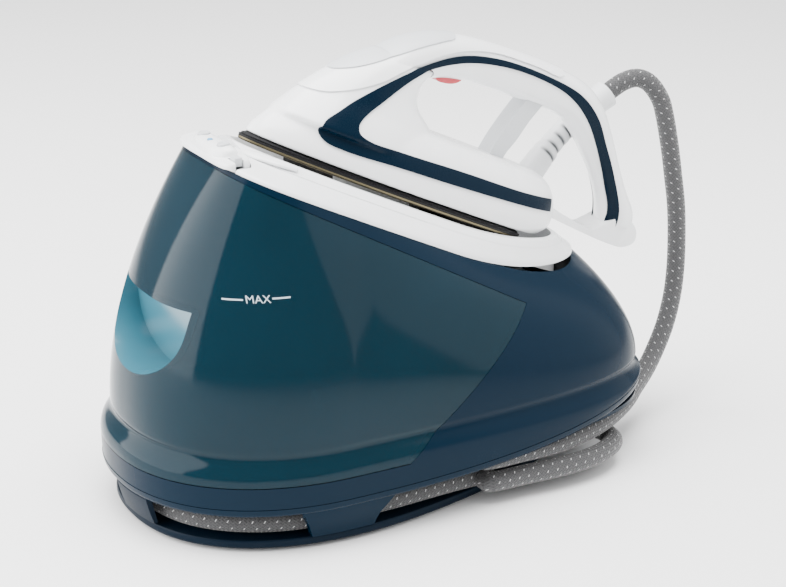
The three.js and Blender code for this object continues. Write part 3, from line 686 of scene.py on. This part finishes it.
def makeBody(b):
    seam = lambda y: edgeZ(y) + 6
    outer = flank(b["edge"], boat("flare", seam, 0.6 + b["edge"]), 0, b["rows"])
    room = flank(b["wall"], boat("flare", lambda y: seam(y) - 2, b["wall"] + 0.6), 2, 12)
    cut(room, bay(b["gap"] + b["wall"]), block(-160, 160, -300, -36, 52, 56))
    cut(outer, room, bay(b["gap"]), bar("y", (0, -45, 66), 60, 9), bar("x", (-140, 140, 100), 70, 21),
        bar("y", (-50, 180, 92), 60, 7.4))
    settle(outer, "bodyShell", "base", ["body_shell"], "navy")


pocket = {"half": 58, "top": 178, "middle": 165, "deep": 44, "back": -165}


# Finger pocket: a flat top and a belly of half*cos, deep*sin^0.8, grown by g.
def gripPocket(g):
    t = np.linspace(0, np.pi, 48)
    half, top = pocket["half"] + g, pocket["top"] + g
    arc = np.stack([-half * np.cos(t), pocket["middle"] - (pocket["deep"] + g) * np.sin(t) ** 0.8], 1)
    return prism(np.concatenate([[[-half, top]], arc, [[half, top]]]), "y", -260, pocket["back"] + g)


# The pocket's own walls, by their place and by facing along or square to Y.
def inPocket(face):
    x, y, z = face.center[0] * 1000, face.center[1] * 1000 + middleY, face.center[2] * 1000
    near = abs(x) < pocket["half"] + 0.5 and 119 < z < pocket["top"] + 0.5 and -232 < y < pocket["back"] + 0.5
    return near and (abs(face.normal[1]) < 0.02 or abs(y - pocket["back"]) < 0.1)


def makeTank(b):
    outer = overlap(flank(b["edge"], boat("flare", 56.4, b["edge"]), 0, b["rows"]), bay(0))
    inner = overlap(flank(b["tankWall"], boat("flare", 58.6, b["tankWall"]), -2, 26), bay(-b["tankWall"]))
    cut(inner, gripPocket(b["tankWall"]))
    cut(outer, gripPocket(0), inner, bar("z", (0, -70, 200), 60, 17), bar("y", (0, -60, 66), 60, 6.4))
    settle(outer, "waterTank", "tank", ["water_tank"], "tank")
    # the pocket walls take the lighter copy of the tank's tint, which is painted light
    outer.data.materials.append(finishes["pocket"])
    outer.data.polygons.foreach_set("material_index", [int(inPocket(f)) for f in outer.data.polygons])


# Level mark: a word and a dash on each side, laid on the tank's skin by looking along X.
mark = {"height": 7.6, "y": -132.6, "z": 188.4, "dashWidth": 1.1, "steps": 13, "ink": 0.0001, "lift": 0.00012,
        "dashes": [(-154.0, -142.0, 190.6), (-123.4, -110.8, 191.2)]}


def layOnSkin(o, skin, seenAt):
    tree = BVHTree.FromObject(skin, bpy.context.evaluated_depsgraph_get())
    for v in o.data.vertices:
        y, z = seenAt(v.co)
        hit = tree.ray_cast(Vector((0.3, (y - middleY) / 1000, z / 1000)), Vector((-1, 0, 0)))
        v.co = hit[0] + hit[1] * mark["lift"]
    o.location = (0, 0, 0)


def makeMark(p):
    font = bpy.data.curves.new("markText", "FONT")
    font.body, font.size, font.align_x, font.resolution_u = "MAX", p["height"], "CENTER", 4
    text = addObject("markText", font)
    mesh = baked(text)
    bpy.data.objects.remove(text)
    word = addObject("levelWord", mesh)
    tank = bpy.data.objects["waterTank"]
    layOnSkin(word, tank, lambda co: (p["y"] + co.x, p["z"] + co.y))
    pieces = [word]
    for k, (a, b, z) in enumerate(p["dashes"]):
        n = p["steps"]
        y, h = np.meshgrid(np.linspace(a, b, n), np.array([-0.5, 0.5]) * p["dashWidth"] + z)
        verts = np.stack([0 * y, y, h], -1).reshape(-1, 3)
        dash = meshObject("levelDash" + str(k + 1), verts, [[i, i + 1, i + n + 1, i + n] for i in range(n - 1)])
        layOnSkin(dash, tank, lambda co: (co.y, co.z))
        pieces.append(dash)
    for o in pieces:
        thick = o.modifiers.new("ink", "SOLIDIFY")
        thick.thickness, thick.offset = p["ink"], 0.0
        o.data.materials.append(finishes["print"])
        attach(o, "tank")


makeBody(base)
makeTank(base)
makeMark(mark)
print("base casing and tank made")

# ---- lower housing, tray and hose clip ----
lower = {"wall": 2.8, "panLow": 46.0, "panHigh": 49.0, "windowLow": (-104, -58), "windowHigh": (-118, -36)}


def pillarRing(h):
    ring = loft(soften(ladder("flare", [(9.9, 9), (16, 8), (28, 4), (38, 2.2)]), 1))
    return cut(ring, loft(ladder("flare", [(5, 15), (42, 8)])))


def makeLowerHousing(h):
    seam = lambda y: edgeZ(y) + 5.6
    rim = loft(soften(ladder("flare", [(edgeZ, 2.4), (lambda y: edgeZ(y) + 1.2, 1.4), (seam, 0.7)])))
    cut(rim, loft(ladder("flare", [(lambda y: edgeZ(y) - 2, 4.4), (lambda y: seam(y) + 2, 4.4)])))
    join(rim, loft(ladder("flare", [(h["panLow"], 3.8), (h["panHigh"], 3.8)])))
    saddles = [cut(block(x, x + 10, 105, 145, 48, 90), bar("x", (-80, 125, 108), 160, 38.4)) for x in (-50, 40)]
    join(rim, *saddles, block(-80, -50, 38, 72, 48, 60), block(36, 92, 16, 22, 48, 62), block(36, 92, 70, 76, 48, 62))
    (a, b), (c, d) = h["windowLow"], h["windowHigh"]
    for side in (-1, 1):
        outline = [[a, 5], [b, 5], [b + 6, 20], [d, 39.5], [c, 39.5], [a - 5, 20]]
        window = prism(outline, "x", *sorted((40 * side, 140 * side)))
        join(rim, overlap(pillarRing(h), window))
    cut(rim, bar("z", (52, 160, 40), 20, 9))
    settle(rim, "lowerHousing", "base", ["lower_housing"], "navy")


def makeTray(h):
    plate = loft(soften(ladder("tray", [(2.4, 2.2), (4, -0.4), (8.6, -0.4), (9.5, 0.4)])))
    core = overlap(loft(ladder("core", [(8, 0), (45.6, 2)])), block(-100, 100, -200, 92, 0, 60))
    room = overlap(loft(ladder("core", [(9.6, 4), (60, 6)])), block(-100, 100, -200, 88, 0, 70))
    cut(join(plate, core, block(18, 42, 80, 168, 8, 45.6)), room)
    settle(plate, "baseTray", "base", ["base_tray"], "darkNavy")
    clip = loft(soften(ladder("flare", [(11, 8.4), (20, 5.4), (31, 2.6), (32.2, 3.4)]), 1))
    cut(clip, loft(ladder("flare", [(5, 12.4), (36, 5.6)])))
    overlap(clip, block(-2, 40, -230, -180, 11, 32.2))
    settle(clip, "hoseClip", "base", ["hose_clip"], "darkNavy")


makeLowerHousing(lower)
makeTray(lower)
print("lower housing and tray made")

# ---- white platform with the sunken tub, and the control panel ----
platform = {"rimHeight": 3.0, "groove": 0.9, "tubDepth": 14.0, "wall": 2.6}


# Rows from the outer edge over the rounded rim and down to the tub's lip, with one narrow groove.
def makePlatform(p):
    high, low = boat("rim", lambda y: rimZ(y) + p["rimHeight"], 0.2), boat("recess", recessZ, -2)
    between = lambda f, drop: high + (low - high) * f - [0, 0, drop]
    shares = [(0.04, -0.3), (0.3, 0), (0.62, 0), (0.66, 0), (0.67, p["groove"]), (0.7, p["groove"]), (0.71, 0),
              (0.76, 0), (0.96, 0)]
    top = [*ladder("rim", [(lambda y: rimZ(y) + 0.4, 0.2), (lambda y: rimZ(y) + 1.8, 0.2)]),
           *[between(f, drop) for f, drop in shares], low]
    body = loft(np.concatenate([soften(top[:5], 2), top[5:], [boat("recess", lambda y: recessZ(y) + 0.4, -0.5)]]))
    cut(body, loft([boat("rim", lambda y: rimZ(y) - 3, 4), boat("recess", lambda y: recessZ(y) - 4, -2)]))
    floor = lambda y: soleZ(y) - p["tubDepth"]
    join(body, loft([boat("recess", lambda y: floor(y) - 2.6), boat("recess", lambda y: recessZ(y) - 1)]))
    cut(body, loft([boat("recess", floor, p["wall"]), boat("recess", lambda y: recessZ(y) + 8, p["wall"])]),
        loft([boat("panel", 200, -0.6), boat("panel", 320, -0.6)]))
    settle(body, "ironPlatform", "base", ["iron_platform"], "white")


def makePanel():
    top = lambda y: 277.5 + (y + 139) * 0.12
    foot = lambda y: np.minimum(274.2, rimZ(y) + 0.8)
    cover = loft(soften(ladder("panel", [(foot, 0.6), (lambda y: top(y) - 1.6, 0.2), (top, 1.5)])))
    hood = loft(soften(ladder("hood", [(276, 0), (281, 1), (284, 3), (285.5, 7)])))
    join(cover, hood)
    cut(cover, loft(ladder("panel", [(258, 3), (274.5, 3)])), loft(ladder("hood", [(270, 2.6), (281, 3), (282.6, 5)])),
        bar("z", (-17, -124, 260), 40, 5), bar("z", (17, -124, 260), 40, 5), bar("z", (0, -127, 260), 40, 2.4),
        block(30.6, 45.4, -127.5, -120.5, 260, 290))
    settle(cover, "controlPanel", "base", ["control_panel"], "white")
    dish = [(0, 5.6), (0.244, 5.6), (0.245, 4.6), (0.9, 4.6), (0.97, 4.3), (1, 3.8), (0.97, 2.5), (0.94, 0.4)]
    for name, nodeName, x in (("powerButton", "power_button", -17), ("ecoButton", "eco_button", 17)):
        settle(turned("z", (x, -124, 277.8), 9.0, dish), name, nodeName, [nodeName], "grey")


# Raised finger scoop on the rim beside the panel: half ellipses w*cos, h*sin carried along its middle line,
# ending in a black sheet of painted shade at its mouth.
scoop = {"path": [[13, -113.5, 280.6], [22, -109.5, 279.2], [32, -102.5, 276.6], [40, -92, 272.3], [45.5, -80, 267.4]],
         "half": [0.8, 4.6, 6.4, 6.2, 4.2], "rise": [0.3, 1.7, 2.6, 3.0, 2.4], "sunk": 1.2,
         "mouthShade": [(0.2, -0.1), (0.86, 0.02), (0.86, 0.16), (0.2, 0.2)]}


def makeScoop(p):
    t = np.linspace(0, 1, 40)
    path = centripetal(p["path"], 40)
    marks = np.linspace(0, 1, len(p["half"]))
    half, rise = np.interp(t, marks, p["half"]), np.interp(t, marks, p["rise"])
    along = unit(np.gradient(path, axis=0))
    across = unit(np.cross(along, [0, 0, 1.0]))
    up = np.cross(across, along)
    a = fullTurn(32)
    tall = np.where(np.sin(a) > 0, rise[:, None], p["sunk"]) * np.sin(a)
    wide = half[:, None] * np.cos(a)
    rings = path[:, None] + wide[:, :, None] * across[:, None] + tall[:, :, None] * up[:, None]
    settle(loft(rings), "fingerScoop", "base", [], "white")
    # the mouth is a black sheet of painted shade under the scoop's lip, not a part
    last = rings[-1] - path[-1]
    mouthShade = np.stack([path[-1] + last * share + along[-1] * ahead for share, ahead in p["mouthShade"]])
    settle(loft(mouthShade), "scoopMouthShade", "base", [], "black")


makePlatform(platform)
makePanel()
makeScoop(scoop)
print("platform and panel made")

# ---- iron, in its own axes: y back from the nose, z up from the sole ----
iron = {"wall": 2.6, "proud": 1.3, "under": 0.4, "insertLow": 1.7, "insertHigh": 2.2, "pillarHalf": 9.0,
        "pillarGap": 0.4}
# height, half width, front and rear up the lower body and the bonnet
lowerLevels = [[7, 53.6, 3.2, 265.6], [16, 55, 7, 275], [26, 53, 14, 276], [36, 49, 21, 274], [44, 44, 27, 269],
               [50, 37, 32, 262], [53.5, 27, 38, 252]]
bonnetLevels = [[30, 46, 17, 154], [44, 41, 27, 150], [54, 36, 35, 146], [67, 31, 47, 128], [80, 27, 60, 124],
                [90, 24, 72, 128], [97, 20, 82, 134]]
# y, z, half width, half thickness and taper of the inner side along the middle of the handle loop
handleStations = [[92, 80.5, 22, 16.5, 0], [109, 96.5, 21, 16.5, 0], [130, 108, 19.5, 16.5, 0],
                  [158, 114.5, 18, 16.5, 0], [200, 117.5, 17.5, 17, 0], [240, 118.5, 17.5, 16.8, 0],
                  [266, 116.5, 17.5, 16.5, 0],
                  [284, 108.5, 17, 16.3, 0.08], [301.2, 95, 15.8, 14.6, 0.2], [322, 75.4, 14.4, 12.4, 0.28],
                  [338, 58, 14.4, 12.8, 0.28], [350, 43, 16, 15.8, 0.2], [353, 35, 16, 15.6, 0.2]]


def levels(rows, grow, midShare, frontPower, rearPower, count=26):
    table = smoothTable(rows, count)
    table[0, 0] -= abs(grow)
    table[-1, 0] += grow
    return loft([boat((half, front, rear, front + (rear - front) * midShare, frontPower, rearPower), z, -grow, 144)
                 for z, half, front, rear in table])


def lowerBody(grow):
    return levels(lowerLevels, grow, 0.55, 1.8, 3.4)


def bonnet(grow):
    return levels(bonnetLevels, grow, 0.6, 2, 2.4)


# Lower body and bonnet run into each other: their union is resampled on voxels and its creases relax.
def blendedBody(voxel=1.35, times=10):
    o = join(lowerBody(0), bonnet(0))
    m = o.modifiers.new("voxels", "REMESH")
    m.mode, m.voxel_size = "VOXEL", voxel
    s = o.modifiers.new("relax", "SMOOTH")
    s.factor, s.iterations = 0.5, times
    made = baked(o)
    o.modifiers.clear()
    o.data = made
    return o


# A copy whose points stand a distance out along their normals.
def grown(o, distance):
    mesh = o.data.copy()
    co, normal = np.zeros(len(mesh.vertices) * 3), np.zeros(len(mesh.vertices) * 3)
    mesh.vertices.foreach_get("co", co)
    mesh.vertex_normals.foreach_get("vector", normal)
    mesh.vertices.foreach_set("co", co + distance * normal)
    mesh.update()
    return addObject("part", mesh)


# Section a*|cos|^0.85, b*|sin|^0.85 carried square to the loop's middle line, a shrinking by taper*sin inwards.
def handleLoop(grow, count=90, around=56):
    rows = smoothTable(handleStations, count)
    step = unit(np.gradient(rows[:, :2], axis=0))
    end = np.zeros(count)
    end[0], end[-1] = -grow, grow
    t = fullTurn(around)
    c, s = np.cos(t), np.sin(t)
    a = (rows[:, 2:3] + grow) * (1 - rows[:, 4:5] * np.maximum(0, s)) * np.sign(c) * np.abs(c) ** 0.85
    b = (rows[:, 3:4] + grow) * np.sign(s) * np.abs(s) ** 0.85
    dy, dz = step[:, 0:1], step[:, 1:2]
    y = rows[:, 0:1] + dz * b + dy * end[:, None]
    z = rows[:, 1:2] - dy * b + dz * end[:, None]
    return loft(np.stack([a, y, z], -1))


def curvedOutline(points, count):
    p = np.asarray(points, float)
    return centripetal(np.concatenate([p, np.zeros((len(p), 1))], 1), count)[:, :2]


heelSide = [[272.5, 24], [293, 22], [346, 18.6], [362, 20], [371, 27], [369, 36], [352, 44], [334, 31], [326, 25.4],
            [293, 28.5], [272.5, 31]]
pillarSide = [[207, 52], [220, 52], [226, 70], [238, 106], [222, 106], [211.5, 74]]
bootPath = [[-12, 262, 38], [-21, 276, 62], [-28, 291, 87], [-31, 306, 109], [-32, 322, 131]]
coverSide = [[31, 52], [43, 55], [56, 61], [69, 68.5], [83, 78], [94, 87.5], [110, 99.5], [125, 110.3], [141, 118.6],
             [158, 124.3], [177, 128], [197, 129.3], [217, 129.8], [237, 129.2], [241.5, 132], [241, 150],
             [60, 160], [0, 80]]
insertSide = [[49, 72], [65, 81.5], [85, 95], [106, 110], [125, 121], [134, 125.5], [139, 131], [130, 155],
              [50, 150], [20, 90]]
ribbonOuter = [[345.5, 24], [346.4, 36], [342, 50], [321.5, 76], [305, 92.5], [286.5, 110], [263, 121.8], [228, 126],
               [178, 124.3], [141, 115], [110.6, 96.5], [80, 72.2], [54, 46.3], [44, 34], [43.5, 26], [49, 21.4],
               [64.5, 20], [108, 22.4], [162, 24.3], [235, 27.5], [259, 29]]
ribbonInner = [[259, 38.5], [221, 36.4], [160, 35.4], [106, 33.3], [79, 33], [70, 36], [68.6, 42], [82.5, 60.7],
               [111.4, 91], [144, 110], [180, 119.4], [219, 121.7], [252, 117.5], [279, 104.5], [310, 77], [325, 60],
               [334, 48], [337.8, 38], [337.2, 27]]


def heelPlate(half):
    return prism(heelSide, "x", -half, half)


def softHeel():
    outline = curvedOutline(heelSide + heelSide[:1], 90)[:-1]
    return prism(outline, "x", -15, 15)


def bootTube(radii, count=120, around=64, ribs=0.0):
    path, _ = evenly(centripetal(bootPath, 400), count)
    t = np.linspace(0, 1, count)
    r = np.interp(t, [row[0] for row in radii], [row[1] for row in radii])
    tangent = unit(np.gradient(path, axis=0))
    u = unit(np.array([1.0, 0, 0]) - tangent * tangent[:, :1])
    v = np.cross(tangent, u)
    a = fullTurn(around)
    # seven grooves, each a narrow bell in t, on the two sides and not over the spine
    grooves = np.exp(-(((t[:, None] - np.linspace(0.3, 0.8, 7)) / 0.014) ** 2)).sum(1)
    sides = np.clip(np.abs(np.cos(a)) * 1.6 - 0.5, 0, 1)
    radius = r[:, None] - ribs * grooves[:, None] * sides
    spokes = np.cos(a)[None, :, None] * u[:, None] + np.sin(a)[None, :, None] * v[:, None]
    rings = path[:, None] + radius[:, :, None] * spokes
    o = loft(rings)
    # the groove depth is also kept as an attribute that drives the boot's painted shade in the slits
    depth = np.concatenate([(grooves[:, None] * sides).ravel(), [0, 0]]) if ribs else np.zeros(count * around + 2)
    o.data.attributes.new("groove", "FLOAT", "POINT").data.foreach_set("value", depth.astype(np.float32))
    return o


bootRadii = [[0, 11], [0.15, 11], [0.34, 10.3], [0.38, 9.2], [0.62, 9], [0.84, 9], [0.88, 10.8], [1, 12]]
bootGap = [[t, r + 0.4] for t, r in bootRadii]


def pillarSlot(p):
    half = p["pillarHalf"] + p["pillarGap"]
    return prism(pillarSide, "x", -half, half)


def makeIron(p):
    shell = grown(p["body"], 0)
    cut(shell, grown(p["body"], -p["wall"]), lowerBody(-p["wall"] - 0.3), bootTube(bootGap), pillarSlot(p))
    settleIron(shell, "ironShell", "iron_shell", "white")
    handle = join(handleLoop(0), softHeel())
    triggerSlot = block(-6.4, 6.4, 135.6, 159.4, 84, 106)
    cut(handle, handleLoop(-3), bonnet(0.4), lowerBody(0.4), triggerSlot, pillarSlot(p))
    settleIron(handle, "handleShell", "handle_shell", "white")


# A skin over the handle and the body, between two distances out of their surface.
def laidOn(body, high, low):
    return cut(join(handleLoop(high), grown(body, high)), join(handleLoop(low), grown(body, low)))


def makeCover(p):
    skin = laidOn(p["body"], p["proud"], p["under"])
    overlap(skin, prism(curvedOutline(coverSide[:15], 90).tolist() + coverSide[15:], "x", -30, 30))
    settleIron(skin, "handleTopCover", "handle_top_cover", "white")
    skin = laidOn(p["body"], p["insertHigh"], p["insertLow"])
    overlap(skin, prism(curvedOutline(insertSide[:7], 60).tolist() + insertSide[7:], "x", -19, 19))
    settleIron(skin, "handleTopInsert", "handle_top_insert", "grey")


def makeRibbon(side, p):
    high, low = p["proud"], p["under"]
    skin = cut(join(grown(p["body"], high), handleLoop(high)), join(grown(p["body"], low), handleLoop(low)))
    edge = curvedOutline(ribbonOuter, 160).tolist() + curvedOutline(ribbonInner, 150).tolist()
    overlap(skin, prism(edge, "x", 9 if side > 0 else -62, 62 if side > 0 else -9))
    cut(skin, bootTube(bootGap), heelPlate(15.4))
    word = "Right" if side > 0 else "Left"
    settleIron(skin, "sideTrim" + word, "side_trim_" + word.lower(), "ribbon")


iron["body"] = blendedBody()
makeIron(iron)
makeCover(iron)
makeRibbon(1, iron)
makeRibbon(-1, iron)
bpy.data.objects.remove(iron.pop("body"))
print("iron casing made")


# rows of (height, inset from the sole's outline) up the parts under the shell; between blackFrom and blackTo, and
# over edgeFrom, the plate is black
under = {"around": 220,
         "plate": [(0, 1.2), (0.4, 0.5), (0.9, 0.2), (2.3, 0.05), (2.5, 0.35), (2.8, 0.35), (3.0, 0.05), (4, 0)],
         "skirt": [(4.4, 1.5), (5.4, 1.6), (6.2, 4.4), (9.5, 7.4)], "skirtRoom": [(3, 9.6), (11, 9.6)],
         "chamber": [(4.4, 9), (9, 9), (12, 13), (18, 16)], "blackFrom": 0.3, "blackTo": 0.7, "edgeFrom": 2.4}
triggerSide = [[136, 95], [137.5, 92.2], [140, 91.3], [145, 91.6], [151, 92.8], [156, 95.2], [159, 98]]


def makeIronParts():
    side = curvedOutline([[207, 52], [209, 64], [211.5, 74], [216, 89], [222, 106]], 30).tolist() + curvedOutline(
        [[238, 106], [231, 88], [226, 70], [222, 60], [220, 52]], 30).tolist()
    half = iron["pillarHalf"]
    settleIron(prism(side, "x", -half, half), "handlePillar", "handle_pillar", "grey")
    settleIron(bootTube(bootRadii, 320, 96, 1.3), "hoseBoot", "hose_boot", "boot", sharp=70)
    n = under["around"]
    plate = loft(ladder("sole", under["plate"], n))
    for y, x, r in [(40, 0, 2)] + [(60 + 22 * k, s * (12 + 2.6 * k), 1.7) for k in range(7) for s in (-1, 1)]:
        cut(plate, bar("z", (x, y, -2), 3.2, r, 20))
    settle(plate, "soleplate", "iron", ["soleplate"], "sole", Matrix.Identity(4))
    plate.data.materials.append(finishes["black"])
    for f in plate.data.polygons:
        dark = f.center[2] > under["edgeFrom"] or under["blackFrom"] < f.center[2] < under["blackTo"]
        f.material_index = int(dark)
    plate.data.transform(ironToFrame)
    skirt = cut(loft(soften(ladder("sole", under["skirt"], n), 1)), loft(ladder("sole", under["skirtRoom"], n)))
    settleIron(skirt, "heatSkirt", "heat_skirt", "black")
    chamber = loft(soften(ladder("sole", under["chamber"], n), 1))
    cut(chamber, block(-3, 3, 60, 200, 14, 20), block(-26, 26, 150, 156, 14, 20))
    settleIron(chamber, "steamChamber", "steam_chamber", "casting")
    pressed = curvedOutline(triggerSide, 40).tolist() + [[159, 102], [136, 102]]
    settleIron(prism(pressed, "x", -6, 6), "steamTrigger", "steam_trigger", "red", "trigger")


makeIronParts()
print("iron parts made")

# ---- every other piece keeps its own form, cleaned and with softened edges ----
kept = {
    "rubber": ["foot_front_left", "foot_front_right", "foot_rear_left", "foot_rear_right", "rest_pad_front",
               "rest_pad_rear_left", "rest_pad_rear_right"],
    "grey": ["panel_lock_slider", "tank_valve", "scale_collector"],
    "lens": ["status_light"],
    "board": ["control_board", "power_board"],
    "black": ["tank_socket", "boiler_thermostat", "pump", "mains_gland", "hose_outlet", "trigger_switch",
              "terminal_block"],
    "steel": ["boiler", "trigger_spring", "iron_thermostat"],
    "brass": ["heating_element", "safety_valve", "steam_valve"],
    "silicone": ["suction_tube", "feed_tube", "steam_tube"],
    "darkNavy": ["collector_cap"],
}
edges = {"width": 0.0004, "segments": 2, "angle": 40}
bodyOf = {n: body for body, members in frame["record"]["behaviour"]["bodies"].items() for n in members}


def keepForm(nodeName, look):
    source = frame["nodes"][nodeName]
    o = addObject(nodeName + "_fine", source.data.copy())
    bm = bmesh.new()
    bm.from_mesh(o.data)
    bmesh.ops.remove_doubles(bm, verts=bm.verts, dist=1e-6)
    bmesh.ops.dissolve_limit(bm, angle_limit=0.01, verts=bm.verts, edges=bm.edges)
    bm.to_mesh(o.data)
    bm.free()
    if "custom_normal" in o.data.attributes:
        o.data.attributes.remove(o.data.attributes["custom_normal"])
    shadeByAngle(o.data, 35)
    soft = o.modifiers.new("edges", "BEVEL")
    soft.width, soft.segments = edges["width"], edges["segments"]
    soft.limit_method, soft.angle_limit = "ANGLE", math.radians(edges["angle"])
    o.data.materials.clear()
    o.data.materials.append(finishes[look])
    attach(o, bodyOf[nodeName])
    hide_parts(nodeName)


for look, names in kept.items():
    for nodeName in names:
        keepForm(nodeName, look)
print("small pieces made")

# ---- floor and light ----
studio = {"floor": (0.95, 0.95, 0.95), "floorHalf": 25.0, "key": 125.0, "fill": 30.0, "top": 130.0, "world": 1.0}


def areaLight(name, spot, target, size, power):
    data = bpy.data.lights.new(name, "AREA")
    data.shape, data.size, data.size_y, data.energy = "RECTANGLE", size[0], size[1], power
    o = addObject(name, data)
    o.location = spot
    o.rotation_euler = (Vector(target) - Vector(spot)).to_track_quat("-Z", "Y").to_euler()


def makeStudio(s):
    r = s["floorHalf"]
    floor = meshObject("floor", [[-r, -r, 0], [r, -r, 0], [r, r, 0], [-r, r, 0]], [[0, 1, 2, 3]])
    m, t, p = startMaterial("floorPaper")
    p.inputs["Base Color"].default_value = (*s["floor"], 1)
    p.inputs["Roughness"].default_value = 0.9
    floor.data.materials.append(m)
    world = bpy.data.worlds.new("studio")
    bpy.context.scene.world = world
    world.use_nodes = True
    world.node_tree.nodes["Background"].inputs["Color"].default_value = (1, 1, 1, 1)
    world.node_tree.nodes["Background"].inputs["Strength"].default_value = s["world"]
    areaLight("keyLight", (-0.7, -1.9, 0.9), (0, 0, 0.15), (2.6, 2.2), s["key"])
    areaLight("fillLight", (1.1, 1.9, 1.1), (0, 0, 0.15), (2.6, 2.2), s["fill"])
    areaLight("topLight", (0.1, -0.1, 2.0), (0, 0, 0), (1.8, 1.8), s["top"])


makeStudio(studio)
print("studio made")
